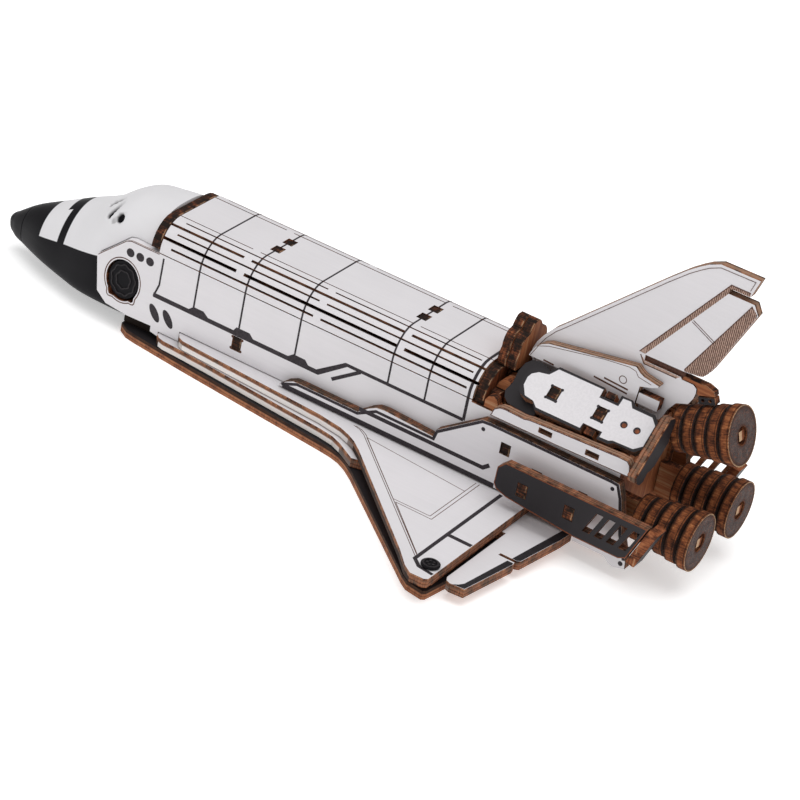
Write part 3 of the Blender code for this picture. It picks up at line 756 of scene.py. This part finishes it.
@dataclass
class Prints:
    """Ink or burnt lines that lie on one face as thin closed slabs."""

    label: str
    face: Face
    ink: Ink
    rise: float = 0.02  # height of the last slab
    under: float = 0.03  # how deep each slab reaches into the board
    layer: float = 0.0004  # how much higher it is than the one before
    mesh_data: bmesh.types.BMesh = field(default_factory=bmesh.new)

    def fill(self, *rings: Line) -> None:
        """Adds a slab.

        Args:
            *rings: its outline, and the outlines of its holes.
        """
        flat = [p for ring in rings for p in ring]
        self.rise += self.layer
        low, high = ([self.mesh_data.verts.new(self.face.at(*p, lift)) for p in flat]
                     for lift in (-self.under, self.rise))
        for triangle in tessellate_polygon([[Vector((*p, 0.0)) for p in ring] for ring in rings]):
            self.mesh_data.faces.new([high[k] for k in triangle])
            self.mesh_data.faces.new([low[k] for k in triangle[::-1]])
        first = 0
        for ring in rings:
            for i in range(len(ring)):
                a, b = first + i, first + (i + 1) % len(ring)
                self.mesh_data.faces.new((low[a], low[b], high[b], high[a]))
            first += len(ring)

    def stroke(self, width: float, *paths: Line, closed: bool = False) -> None:
        """Adds lines of some width.

        Args:
            width: their width.
            *paths: the paths that they follow.
            closed: whether the paths' ends meet.
        """
        for path in paths:
            left, right = (offset(path, k * width / 2, closed) for k in (1, -1))
            self.fill(*((left, right) if closed else (left + right[::-1],)))

    def dot(self, middle: Point, radius: float, steps: int = 28) -> None:
        """Adds a round dot."""
        self.fill(oval(middle, (radius, radius), steps=steps))

    def corners(self, tab: tuple[float, float, float, float], inset: Point) -> None:
        """Adds a small dot at each corner of a tab.

        Args:
            tab: where it starts and ends along the face, and up it.
            inset: how far in from the corners the dots lie, along the face and up it.
        """
        for u in (tab[0] + inset[0], tab[1] - inset[0]):
            for v in (tab[2] + inset[1], tab[3] - inset[1]):
                self.dot((u, v), 0.42, 14)

    def hatch(self, upper: Line, lower: Line, step: float, width: float) -> None:
        """Adds upright lines between two paths that run aft.

        Args:
            upper: the upper path.
            lower: the lower path.
            step: distance from line to line.
            width: the lines' width.
        """
        us = np.arange(max(upper[0][0], lower[0][0]) + step / 2, min(upper[-1][0], lower[-1][0]), step)
        tops, feet = (np.interp(us, *zip(*path)) for path in (upper, lower))
        for u, top, foot in zip(us.tolist(), tops.tolist(), feet.tolist()):
            if top - foot > 0.2:
                self.stroke(width, [(u, foot + 0.05), (u, top - 0.05)])

    def link(self) -> None:
        """Sets the prints down on the model."""
        name = f"{self.face.side.name}_{self.label}"
        piece = link_mesh(name, self.mesh_data, self.ink.make(name + "_ink"))
        log.info("printed %s with %d faces", name, len(piece.data.polygons))


# Sub-assemblies


@dataclass
class NoseShell:
    """The moulded nose, with its cockpit recesses and the pockets that the side walls lie in."""

    sections: Sequence[tuple[float, ...]] = (
        # station, half width, low, high, shoulder, roundness above, roundness below
        (-117.8, 0.05, 8.0, 9.2, 0.70, 2.0, 2.0),
        (-117.0, 1.4, 6.4, 10.5, 0.70, 2.0, 2.2),
        (-115.0, 2.9, 4.8, 12.2, 0.66, 2.0, 2.3),
        (-110.4, 5.2, 3.7, 15.8, 0.59, 2.0, 2.5),
        (-102.0, 9.3, 3.2, 20.5, 0.46, 2.1, 2.9),
        (-92.0, 12.5, 3.0, 25.9, 0.31, 2.1, 3.3),
        (-83.0, 15.2, 3.0, 30.4, 0.27, 2.4, 3.6),
        (-79.0, 15.9, 3.0, 33.7, 0.27, 2.5, 3.7),
        (-73.5, 16.2, 3.0, 36.9, 0.26, 2.7, 3.8),
        (-67.0, 16.0, 3.0, 38.0, 0.26, 2.9, 4.0),
        (-60.8, 16.0, 3.0, 38.6, 0.25, 3.1, 4.2),
    )
    around: int = 160
    seam: float = -110.35
    pocket: Line = ((-77.1, 20.1), (-76.4, 21.5), (-68.2, 28.95), (-66.1, 29.4), (-50.0, 29.4),
                    (-50.0, 2.0), (-64.9, 2.0), (-72.1, 6.9), (-75.6, 9.6))
    port_hole: Triple = (-74.3, -11.9, 31.4)
    windows: Sequence[tuple[Triple, Triple, float, float]] = (
        # forward end, aft end, half width, depth of the cockpit's recesses
        ((-81.0, -6.2, 30.9), (-77.9, -5.3, 33.7), 1.25, 1.2),
        ((-78.6, -10.6, 30.1), (-76.6, -7.6, 33.6), 1.25, 1.2),
        ((-76.2, -12.3, 30.0), (-73.6, -11.2, 32.2), 1.3, 0.5))
    port_radius: float = 1.6
    port_depth: float = 1.5
    seam_half: float = 0.2
    seam_depth: float = 0.22
    pocket_reach: Point = (13.5, 30.0)
    belly_pocket: Line = ((-66.8, 0.0), (-50.0, 0.0), (-50.0, 6.0), (-66.8, 6.0))
    belly_half: float = 20.0
    smooth: float = 40.0

    def ring(self, x: np.ndarray) -> np.ndarray:
        """Surface points of the shell.

        Args:
            x: stations.

        Returns:
            An array of points, by station and by step round the section.
        """
        table = np.array(self.sections)
        half, low, high, shoulder, above, below = (
            hermite(table[:, 0], table[:, k], x)[:, None] for k in range(1, 7))
        turn = np.arange(self.around) * 2 * np.pi / self.around
        c, s = np.cos(turn)[None, :], np.sin(turn)[None, :]
        middle = low + shoulder * (high - low)
        power = np.where(s >= 0, above, below)
        reach = np.where(s >= 0, high - middle, middle - low)
        y = half * np.abs(c) ** (2 / power) * np.sign(c)
        z = middle + reach * np.abs(s) ** (2 / power) * np.sign(s)
        return np.stack([np.broadcast_to(x[:, None], y.shape), y, z], -1)

    def dent(self, point: Vector, inward: Vector) -> tuple[Vector, float]:
        """Moves a surface point into the seam, a cockpit recess or the round port in the last one.

        Args:
            point: the point on the smooth shell.
            inward: direction into the shell.

        Returns:
            The moved point, and how deep it lies in a recess.
        """
        groove = self.seam_depth * max(0.0, 1.0 - abs(point.x - self.seam) / self.seam_half)
        depth = 0.0
        mirrored = Vector((point.x, -abs(point.y), point.z))
        for ahead, aft, half, deepest in self.windows:
            start, run = Vector(ahead), Vector(aft) - Vector(ahead)
            t = min(1.0, max(0.0, (mirrored - start).dot(run) / run.length_squared))
            away = (mirrored - start - t * run).length / half
            depth = max(depth, deepest * (1.0 - 0.75 * t) * min(1.0, max(0.0, (1.0 - away) / 0.35)))
        inside = self.port_radius - (mirrored - Vector(self.port_hole)).length
        if inside > 0.0:
            depth = max(depth, self.port_depth * min(1.0, inside / 0.45))
        return point + inward * max(depth, groove), depth

    def build(self) -> bpy.types.Object:
        """Builds and dresses the shell.

        Returns:
            The new piece.
        """
        first, last = self.sections[0][0], self.sections[-1][0]
        seam = {self.seam + k * self.seam_half / 2 for k in range(-2, 3)}
        stations = sorted({last} | seam | set(np.arange(first, last, 0.38).round(3)))
        mesh_data = bmesh.new()
        rings = [[mesh_data.verts.new(p) for p in row] for row in self.ring(np.array(stations))]
        for a, b in zip(rings, rings[1:]):
            for i in range(self.around):
                j = (i + 1) % self.around
                mesh_data.faces.new((a[i], a[j], b[j], b[i]))
        mesh_data.faces.new(rings[-1])
        mesh_data.faces.new(rings[0][::-1])
        bmesh.ops.recalc_face_normals(mesh_data, faces=mesh_data.faces)
        mesh_data.normal_update()
        moved = [self.dent(v.co, -v.normal) for v in mesh_data.verts]
        # Each point keeps its depth in a recess, which the nose's material paints as shade.
        recess = mesh_data.verts.layers.float.new("recess")
        for v, (place, depth) in zip(mesh_data.verts, moved):
            v.co = place
            v[recess] = depth
        piece = link_mesh("nose_moulding", mesh_data, Moulding("nose_white_and_black", True).make())
        cuts = [(self.pocket, *(side.value * y for y in self.pocket_reach)) for side in Side]
        carve(piece, cuts + [(self.belly_pocket, -self.belly_half, self.belly_half)])
        piece.data.shade_smooth()
        piece.data.set_sharp_from_angle(angle=math.radians(self.smooth))
        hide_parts("nose_shell", "nose_tip_cap")
        return piece


def carve(piece: bpy.types.Object, cuts: Sequence[tuple[Line, float, float]]) -> None:
    """Takes upright prisms out of a piece for good.

    Args:
        piece: the piece, which keeps its first material.
        cuts: each prism's outline of (x, z) points, and its two ends along Y.
    """
    for outline, *reach in cuts:
        mesh_data = bmesh.new()
        ends = [[mesh_data.verts.new((x, y, z)) for x, z in outline] for y in reach]
        for i in range(len(outline)):
            j = (i + 1) % len(outline)
            mesh_data.faces.new((ends[0][i], ends[0][j], ends[1][j], ends[1][i]))
        mesh_data.faces.new(ends[0][::-1])
        mesh_data.faces.new(ends[1])
        modifier = piece.modifiers.new("carve", "BOOLEAN")
        modifier.operation = "DIFFERENCE"
        modifier.solver = "EXACT"
        modifier.object = link_mesh("cutter", mesh_data, bpy.data.materials.new("cutter"))
    bpy.context.view_layer.update()
    shaped = bpy.data.meshes.new_from_object(piece.evaluated_get(bpy.context.evaluated_depsgraph_get()))
    material = piece.data.materials[0]
    cutters = [modifier.object for modifier in piece.modifiers]
    piece.modifiers.clear()
    piece.data = shaped
    shaped.materials.clear()
    shaped.materials.append(material)
    for cutter in cutters:
        bpy.data.objects.remove(cutter, do_unlink=True)


@dataclass
class Boards:
    """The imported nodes, which keep their shapes and take their finishes from these tables."""

    looks: Sequence[Plywood] = (
        # end of the name, board, ink, start, warmth, scorch, pale, soot, foot
        Plywood("belly_board", Board.level, BLACK, 0.0, 0.85, 0.5, 0.15, 0.9),
        Plywood("nose_block", Board.level, BLACK, 3.0, -1.0),
        Plywood("strake_board", Board.level, WHITE, 3.0, 0.50, 0.5, 0.2, 0.0, 0.85),
        Plywood("wing_board", Board.level, WHITE, 6.0, 0.50, 0.5, 0.2, 0.0, 0.9),
        Plywood("roof_wrap", Board.roof, WHITE, None, 0.50, 0.5, 0.5),
        # Side plates' edges are burnt darker: partly char, and on the top edge under the pod's strip
        # painted shade.
        Plywood("side_plate", Board.upright, WHITE, 16.8, 0.25, 0.5, 0.15),
        Plywood("side_plank", Board.upright, BLACK, 23.3, 0.45, 0.5, 0.2, 0.3),
        Plywood("wall", Board.upright, WHITE, 13.8, 0.45, lip=-57.6),
        Plywood("pod_strip", Board.upright, WHITE, 16.8, 0.50, 0.5, 0.6),
        Plywood("pod_plate", Board.pod, BLACK, -2.7, 0.5, 0.5, 0.3, 0.4),
        Plywood("pod_cheek", Board.pod, BLACK, -5.7, 0.35, 0.5, 0.35),
        Plywood("pod_rear", Board.across, BLACK, None, 0.45, pale=0.3),
        Plywood("pod_former", Board.upright, None, 5.1, 0.6, 0.4),
        Plywood("pod_rail", Board.upright, None, 13.8, 0.5, 0.45),
        Plywood("pod_rib", Board.across, None, None, 0.15),
        Plywood("fin_board", Board.upright, WHITE, -1.35, 0.45, 0.5, 0.55),
        Plywood("fin_doubler", Board.upright, WHITE, 1.65, 0.35, 0.5, 0.7),
        Plywood("fin_lug", Board.upright, WHITE, 1.65, 0.35),
        Plywood("fin_brace", Board.across, None, None, 0.30, 0.55),
        Plywood("tail_spine", Board.upright, None, -1.35, 0.35, 0.6),
        Plywood("tail_bracket", Board.upright, BLACK, -1.35, 0.5),
        Plywood("plank_end", Board.across, BLACK, None, 0.6),
        Plywood("engine_plate", Board.across, None, None, 0.6, 0.55),
        Plywood("cross_rib", Board.across, None, None, 0.25),
        Plywood("hull_frame", Board.across, None, None, 0.05),
        Plywood("collar", Board.across, None, None, 0.18, 0.9),
        Plywood("rear_ring", Board.across, None, None, 0.3, 0.8),
        Plywood("engine_rod", Board.across, None, None, 0.6, 0.2),
        Plywood("engine_mount", Board.upright, None, 10.15, 0.5, 0.3),
        Plywood("engine", Board.across, None, None, 0.6, 0.7),
    )
    engines: Sequence[tuple[str, Triple, float]] = (
        # name, middle of the rear face, tilt
        ("top_engine", (113.6, 0.0, 43.9), 18.0),
        ("port_engine", (114.0, -11.5, 16.2), 1.0),
        ("starboard_engine", (114.0, 11.5, 16.2), 1.0),
    )
    moulded: tuple[str, ...] = ("nose_boss", "wing_button")

    def dress(self) -> None:
        """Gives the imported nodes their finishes, but not those that another piece replaces."""
        engines = {name: EngineWood(name + "_wood", rear, tilt) for name, rear, tilt in self.engines}
        for name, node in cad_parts.items():
            stem = name.rstrip("_0123456789")
            finish = next((look for look in self.looks if stem.endswith(look.name)), None)
            if name in engines:
                finish = engines[name]
            elif name.endswith(self.moulded):
                finish = Moulding(name + "_moulding")
            elif finish is not None:
                side = Side.starboard if name.startswith("starboard") else Side.port
                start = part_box(name)[0].x / MM - SHIFT if finish.start is None else finish.start
                finish = replace(finish, name=name + "_ply", side=side, start=start)
            if finish is not None:
                node.data.materials.clear()
                node.data.materials.append(finish.make())
                log.info("dressed %s as %s", name, type(finish).__name__)


@dataclass
class WallPrint:
    """Bands, station lines, dots and the hatch's ring on a side wall."""

    dots: Line = ((-66.4, 25.46), (-63.1, 25.46), (-59.8, 25.46))
    ovals: Line = ((-55.8, 11.0), (-51.25, 11.0))
    band: Line = ((-57.1, 17.05), (-45.2, 17.05), (-43.75, 18.3), (-40.4, 18.3),
        (-38.75, 17.05), (-30.2, 17.05), (-29.4, 18.3), (-25.0, 18.3), (-23.75, 17.05), (-12.2, 17.05),
        (-10.6, 18.3), (-6.8, 18.3), (-5.55, 17.05), (-2.9, 17.05), (5.5, 22.95), (42.9, 22.95),
        (42.9, 21.95), (6.2, 21.95), (-2.1, 15.67), (-57.1, 15.67))
    front_line: Line = ((-55.6, 28.3), (-55.7, 19.9), (-57.0, 15.9))
    line_top: float = 29.3
    feet: Point = (17.9, 22.5)  # of the station lines ahead of the wing and above it
    branch: Line = ((2.2, 16.3), (10.4, 22.2))
    ring: Line = ((42.55, 22.4), (43.45, 22.4), (43.45, 29.3), (42.55, 29.3))
    rim: Line = ((-76.6, 20.6), (-75.9, 21.3), (-68.2, 28.35), (-66.6, 28.95), (-57.2, 28.95))
    hatch: Point = (-67.6, 16.2)
    hatch_radii: Point = (6.0, 6.85)
    dot_radius: float = 1.3
    oval_radii: Point = (2.83, 1.25)
    oval_turn: float = -54.4
    line_width: float = 0.57
    branch_width: float = 1.05
    rim_width: float = 0.22
    hatch_width: float = 0.32
    ring_width: float = 0.35
    lugs: Point = (-128.0, -48.0)
    boss_radii: Point = (4.7, 5.4)
    boss_rings: Sequence[tuple[float, int]] = ((0.84, 9), (0.50, 7))
    tab: tuple[float, float, float, float] = (-29.95, -27.05, 11.3, 15.5)

    def swell(self, degrees: float) -> float:
        """How much the hatch's burnt ring swells at its two lugs."""
        away = min(abs((degrees - lug + 180) % 360 - 180) for lug in self.lugs)
        return 1.0 + 0.14 * max(0.0, 1.0 - (away / 11.0) ** 2)

    def build(self, side: Side) -> None:
        """Prints one wall, and raises wavy rings on the black boss behind its hatch.

        Args:
            side: which wall.
        """
        face = Face(Board.upright, HULL_HALF, side)
        ink = Prints("wall_bands", face, SLATE_INK)
        for dot in self.dots:
            ink.dot(dot, self.dot_radius)
        ovals = (oval(middle, self.oval_radii, self.oval_turn) for middle in self.ovals)
        for loop in (*ovals, self.band, self.ring):
            ink.fill(loop)
        stations = (((x, self.feet[x > 0]), (x, self.line_top)) for x in STATIONS)
        ink.stroke(self.line_width, self.front_line, *stations)
        ink.stroke(self.branch_width, self.branch)
        ink.link()
        burnt = Prints("wall_scorch", face, BURNT)
        burnt.stroke(self.rim_width, self.rim)
        hatch = oval(self.hatch, self.hatch_radii, steps=72, swell=self.swell)
        burnt.stroke(self.hatch_width, hatch, closed=True)
        burnt.corners(self.tab, (-0.15, 0.35))
        burnt.link()
        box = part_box(side.name + "_nose_boss")
        level = max(abs(box[0].y), abs(box[1].y)) / MM
        rings = Prints("boss_rings", Face(Board.upright, level, side), KNOB_BLACK, 0.25)
        for reach, waves in self.boss_rings:
            def wave(degrees: float) -> float:
                """Size of the ring, which has gentle waves."""
                return reach * (1.0 + 0.05 * math.sin(waves * math.radians(degrees)))

            ring = oval(self.hatch, self.boss_radii, steps=72, swell=wave)
            rings.stroke(self.ring_width, ring, closed=True)
        rings.link()


@dataclass
class PlatePrint:
    """Borders and bands on an aft side plate."""

    dots: Sequence[Triple] = ((50.6, 24.4, 0.6), (90.0, 24.7, 0.6), (97.1, 5.0, 0.7))
    lines: Sequence[tuple[float, Line]] = ((0.85, ((-11.0, 10.0), (-6.3, 11.9), (13.3, 11.9),
        (18.8, 15.0), (37.0, 15.0), (37.6, 17.5), (49.9, 26.4), (52.3, 26.65), (89.4, 26.55),
        (91.2, 26.35), (92.75, 22.8), (95.05, 12.9), (97.7, 6.2))), (1.4, ((-10.6, 9.8), (57.0, 9.8))),
        (1.2, ((13.6, 13.5), (52.8, 13.5), (54.6, 15.0))), (0.9, ((66.6, 19.4), (69.8, 19.4))), (0.9,
        ((80.9, 19.4), (83.7, 19.4))))
    strip: Line = ((51.6, 29.2), (73.0, 29.4), (94.0, 29.9), (93.5, 31.8), (93.2, 33.2),
        (92.3, 34.2), (89.9, 34.3), (72.0, 33.5), (63.0, 33.0), (61.3, 32.6), (55.4, 32.8), (53.9, 32.6),
        (52.3, 31.5))
    plank: Line = ((62.1, 22.0), (104.8, 22.0), (100.7, 11.4), (98.6, 10.4), (85.0, 10.4),
        (70.0, 11.8), (63.9, 12.5), (60.7, 13.6), (59.8, 15.0), (59.9, 19.9))
    rim_inset: float = 0.14
    rim_width: float = 0.24

    def build(self, side: Side) -> None:
        """Prints one plate, and the rims of the pod's strip and the side plank.

        Args:
            side: which plate.
        """
        face = Face(Board.upright, PLATE_OUTER, side)
        ink = Prints("plate_bands", face, SLATE_INK)
        for u, v, radius in self.dots:
            ink.dot((u, v), radius, 18)
        for width, line in self.lines:
            ink.stroke(width, line)
        ink.link()
        strip = Prints("strip_rim", face, BURNT)
        strip.stroke(self.rim_width, offset(self.strip, self.rim_inset, True), closed=True)
        strip.link()
        plank = Prints("plank_rim", Face(Board.upright, PLANK_OUTER, side), TOASTED)
        plank.stroke(self.rim_width, offset(self.plank, -self.rim_inset, True), closed=True)
        plank.link()


@dataclass
class PodPrint:
    """White field of a pod's black plate, with its tabs and its holes, whose dark rims are partly print and
    partly painted shade.
    """

    outline: Line = ((56.0, 7.0), (56.5, 8.33), (58.0, 9.5), (60.8, 10.07), (62.5, 12.5),
        (76.0, 12.57), (76.07, 10.13), (81.8, 10.13), (81.93, 12.6), (84.3, 12.7), (85.4, 11.2),
        (91.5, 11.17), (93.3, 9.4), (93.3, 3.0), (91.3, 1.23), (85.3, 1.0), (84.3, 0.5), (81.7, 0.4),
        (81.7, 1.93), (75.9, 2.0), (75.8, 0.4), (62.4, 0.4), (60.8, 1.73), (58.0, 2.17), (56.2, 4.67))
    tabs: Sequence[tuple[float, float, float, float]] = ((63.1, 66.4, 3.8, 8.0), (77.0, 80.3, 3.95, 8.15))
    dots: Line = ((85.8, 6.17), (89.7, 6.17))
    dot_radius: float = 1.0
    hole_radius: float = 0.62
    # How far each hole's brown floor sits down and aft of its dark dot, which leaves painted shade at the
    # upper fore side
    hole_shade_shift: float = 0.15

    def build(self, side: Side) -> None:
        """Prints one pod plate.

        Args:
            side: which pod.
        """
        face = Face(Board.pod, 0.0, side)
        white = Prints("pod_field", face, WHITE_INK)
        white.fill(self.outline, *([(a, c), (b, c), (b, d), (a, d)] for a, b, c, d in self.tabs))
        white.link()
        ink = Prints("pod_marks", face, SLATE_INK, 0.05)
        brown = Prints("pod_holes", face, TOASTED, 0.07)
        # Each hole is a dark dot with a brown floor set off it; the thicker dark crescent is painted shade.
        for u, v in self.dots:
            ink.dot((u, v), self.dot_radius)
            brown.dot((u + self.hole_shade_shift, v - self.hole_shade_shift), self.hole_radius, 18)
        brown.link()
        for tab in self.tabs:
            ink.corners(tab, (0.1, 0.3))
        ink.link()


@dataclass
class WingPrint:
    """Bands, panel lines and the elevons' dark borders on the level boards."""

    bands: Sequence[tuple[float, Line]] = ((1.1, ((60.15, 20.2), (60.15, 64.2), (62.9, 66.7),
        (67.4, 67.35))), (1.45, ((60.2, 48.05), (67.5, 48.05))))
    lines: Sequence[Line] = (
        ((13.6, 20.5), (16.0, 21.2), (18.2, 22.7), (60.0, 63.6)),
        ((14.2, 20.4), (16.5, 20.9), (18.6, 22.2), (59.7, 62.5)),
        ((19.5, 23.2), (52.3, 26.2)), ((19.5, 23.2), (40.9, 44.1), (52.3, 43.9)),
        ((52.3, 20.3), (52.3, 43.9)), ((53.4, 20.3), (53.4, 45.0)), ((42.3, 45.0), (53.4, 45.0)),
        ((42.3, 45.0), (59.4, 62.0)))
    button: Point = (64.8, 64.2)
    borders: Sequence[Line] = (((71.3, 62.9), (72.5, 61.9), (73.4, 60.3), (75.7, 42.3),
        (77.4, 42.2), (77.6, 43.0), (74.7, 62.45)), ((76.1, 40.5), (77.5, 40.5), (78.3, 39.9),
        (80.6, 22.6), (80.9, 18.0), (78.7, 18.0)))
    line_width: float = 0.2
    knob_radius: float = 2.0
    knob_width: float = 0.45
    bosses: int = 5
    boss_radius: float = 0.36
    boss_reach: float = 0.95
    boss_turn: float = 20.0

    def build(self, side: Side) -> None:
        """Prints one wing and its elevons.

        Args:
            side: which wing.
        """
        wing = Face(Board.level, WING_TOP, side)
        ink = Prints("wing_bands", wing, SLATE_INK)
        for width, line in self.bands:
            ink.stroke(width, line)
        ink.link()
        u, v = self.button
        knob = Prints("button_bosses", Face(Board.level, BUTTON_TOP, side), KNOB_BLACK, 0.3)
        knob.stroke(self.knob_width, oval(self.button, (self.knob_radius, self.knob_radius)), closed=True)
        for k in range(self.bosses):
            turn = math.radians(360 / self.bosses * k + self.boss_turn)
            a, b = (self.boss_reach * f(turn) for f in (math.cos, math.sin))
            knob.dot((u + a, v + b), self.boss_radius, 12)
        knob.link()
        fine = Prints("wing_lines", wing, BURNT)
        fine.stroke(self.line_width, *self.lines)
        fine.link()
        border = Prints("elevon_border", Face(Board.level, STRAKE_TOP, side), BLACK_INK)
        for loop in self.borders:
            border.fill(loop)
        border.link()


@dataclass
class FinPrint:
    """Hatched strips and engraved lines on the fin, its rudder and its doublers."""

    strip_outer: Line = ((80.9, 55.0), (101.0, 83.5), (106.6, 83.5))
    strip_inner: Line = ((82.6, 54.9), (100.8, 80.9), (100.85, 82.42), (106.6, 82.42))
    foot_outer: Line = ((81.4, 54.3), (82.9, 52.1), (92.6, 52.1))
    foot_inner: Line = ((93.6, 52.9), (82.85, 52.9), (82.5, 53.4))
    trailing_upper: Line = ((94.2, 55.4), (107.9, 80.2), (109.6, 78.6))
    trailing_lower: Line = ((94.2, 54.95), (98.5, 55.4), (99.7, 55.8), (100.7, 57.0),
        (101.6, 58.7), (109.6, 77.6))
    margin: Line = ((53.0, 38.8), (52.1, 40.6), (52.1, 42.3), (53.0, 44.6), (54.4, 47.0),
        (56.6, 49.8), (59.3, 52.4), (84.5, 77.3), (89.3, 81.8), (92.0, 83.9), (94.2, 85.45), (97.1, 86.8),
        (107.2, 86.95), (106.35, 84.1))
    slant: Line = ((93.2, 69.5), (100.4, 66.0))
    low_line: Line = ((52.3, 42.0), (52.75, 43.0), (54.0, 45.5), (57.0, 46.75), (73.0, 50.1),
        (80.5, 51.1), (82.5, 50.75), (83.5, 49.5), (87.5, 48.9))
    circle: Point = (79.5, 46.85)
    bars: Sequence[Line] = (((74.2, 45.05), (81.5, 44.65)), ((71.3, 44.15), (81.5, 43.45)),
        ((56.3, 42.3), (59.5, 42.15)))
    # outline of the dark slab inside the rudder's lower slot, which stands in for shade there
    sill: Line = ((82.7, 52.95), (94.5, 52.5), (94.9, 54.9), (82.7, 54.75))
    circle_radius: float = 1.05
    hatch_step: float = 0.52
    hatch_width: float = 0.2
    edge_width: float = 0.25
    fine_width: float = 0.16
    low_width: float = 0.18
    bar_width: float = 0.5
    slant_gap: float = 0.6

    def build(self, side: Side) -> None:
        """Prints one side of the fin.

        Args:
            side: which side.
        """
        face = Face(Board.upright, FIN_HALF, side)
        # Painted shade: a dark slab inside the rudder's lower slot stands in for the shade there.
        sill = Prints("rudder_sill", Face(Board.upright, SILL_HALF, side), BURNT)
        sill.fill(self.sill)
        sill.link()
        tan = Prints("fin_strips", face, TAN)
        tan.fill([*self.strip_outer, *self.strip_inner[::-1]])
        tan.fill([*self.foot_outer, *self.foot_inner])
        tan.fill([*self.trailing_upper, *self.trailing_lower[::-1]])
        tan.link()
        ink = Prints("fin_lines", face, BURNT, 0.04)
        ink.hatch(self.strip_outer, self.strip_inner, self.hatch_step, self.hatch_width)
        ink.hatch(self.trailing_upper, self.trailing_lower, self.hatch_step, self.hatch_width)
        ink.stroke(self.edge_width, self.strip_outer, self.foot_outer, self.trailing_upper[:2])
        slants = (offset(self.slant, k * self.slant_gap / 2) for k in (-1, 1))
        ink.stroke(self.fine_width, self.margin, *slants)
        ink.link()
        low = Prints("doubler_lines", Face(Board.upright, DOUBLER_OUTER, side), BURNT)
        low.stroke(self.low_width, self.low_line)
        low.stroke(self.edge_width, oval(self.circle, (self.circle_radius,) * 2), closed=True)
        low.stroke(self.bar_width, *self.bars)
        low.link()


@dataclass
class Studio:
    """Camera, floor and soft lights, in metres."""

    position: Triple = (0.3945, -0.7719, 0.4953)
    right: Triple = (0.8351, 0.5206, 0.1774)
    up: Triple = (-0.3949, 0.3432, 0.8521)
    lens: float = 163.2
    floor_half: float = 4.0
    floor_glow: float = 0.42
    air: float = 0.36
    aim: Triple = (0.0, 0.0, 0.03)
    lights: Sequence[tuple[str, Triple, float, float]] = (
        # name, place, size, watts
        ("overhead", (0.1, -0.1, 1.5), 1.6, 18.5),
        ("front_fill", (-0.6, -1.5, 0.8), 1.2, 2.9),
        ("aft_fill", (1.5, -0.5, 0.7), 1.0, 3.0))

    def camera(self) -> None:
        """Places the camera at the photograph's viewing angle."""
        right = Vector(self.right).normalized()
        up = (Vector(self.up) - Vector(self.up).dot(right) * right).normalized()
        turned = Matrix((right, up, right.cross(up))).transposed().to_4x4()
        data = bpy.data.cameras.new("camera")
        data.lens = self.lens
        data.sensor_width = 36.0
        data.clip_start = 0.01
        camera = put("camera", data)
        camera.matrix_world = Matrix.Translation(self.position) @ turned
        bpy.context.scene.camera = camera

    def floor(self) -> None:
        """Lays a plain pale floor under the model."""
        half = self.floor_half
        mesh = bpy.data.meshes.new("floor")
        corners = [(-half, -half, 0), (half, -half, 0), (half, half, 0), (-half, half, 0)]
        mesh.from_pydata(corners, [], [range(4)])
        graph = Graph("floor_white", 0.9, 0.1)
        graph.shader.inputs["Emission Color"].default_value = (1.0, 1.0, 1.0, 1.0)
        graph.shader.inputs["Emission Strength"].default_value = self.floor_glow
        mesh.materials.append(graph.finish((0.93, 0.93, 0.93)))
        floor = put("floor", mesh)

    def hang(self) -> None:
        """Hangs the soft square lights, which look at the model's middle."""
        for name, place, size, watts in self.lights:
            data = bpy.data.lights.new(name, "AREA")
            data.shape = "SQUARE"
            data.size = size
            data.energy = watts
            lamp = put(name, data)
            lamp.location = place
            lamp.rotation_euler = (Vector(self.aim) - Vector(place)).to_track_quat("-Z", "Y").to_euler()

    def build(self) -> None:
        """Sets the whole studio up."""
        self.camera()
        self.floor()
        self.hang()
        world = bpy.data.worlds.new("studio_air")
        world.use_nodes = True
        world.node_tree.nodes["Background"].inputs["Color"].default_value = (1.0, 1.0, 1.0, 1.0)
        world.node_tree.nodes["Background"].inputs["Strength"].default_value = self.air
        bpy.context.scene.world = world
        bpy.context.scene.view_settings.view_transform = "Standard"
        log.info("studio is set")


def main() -> None:
    """Builds each part of the scene and reports it."""
    logging.basicConfig(level=logging.INFO, format="%(name)s: %(message)s")
    Studio().build()
    Boards().dress()
    for side in Side:
        for prints in (WallPrint(), PlatePrint(), PodPrint(), WingPrint(), FinPrint()):
            prints.build(side)
    shell = NoseShell().build()
    log.info("built %s with %d faces", shell.name, len(shell.data.polygons))


if __name__ == "__main__":
    main()
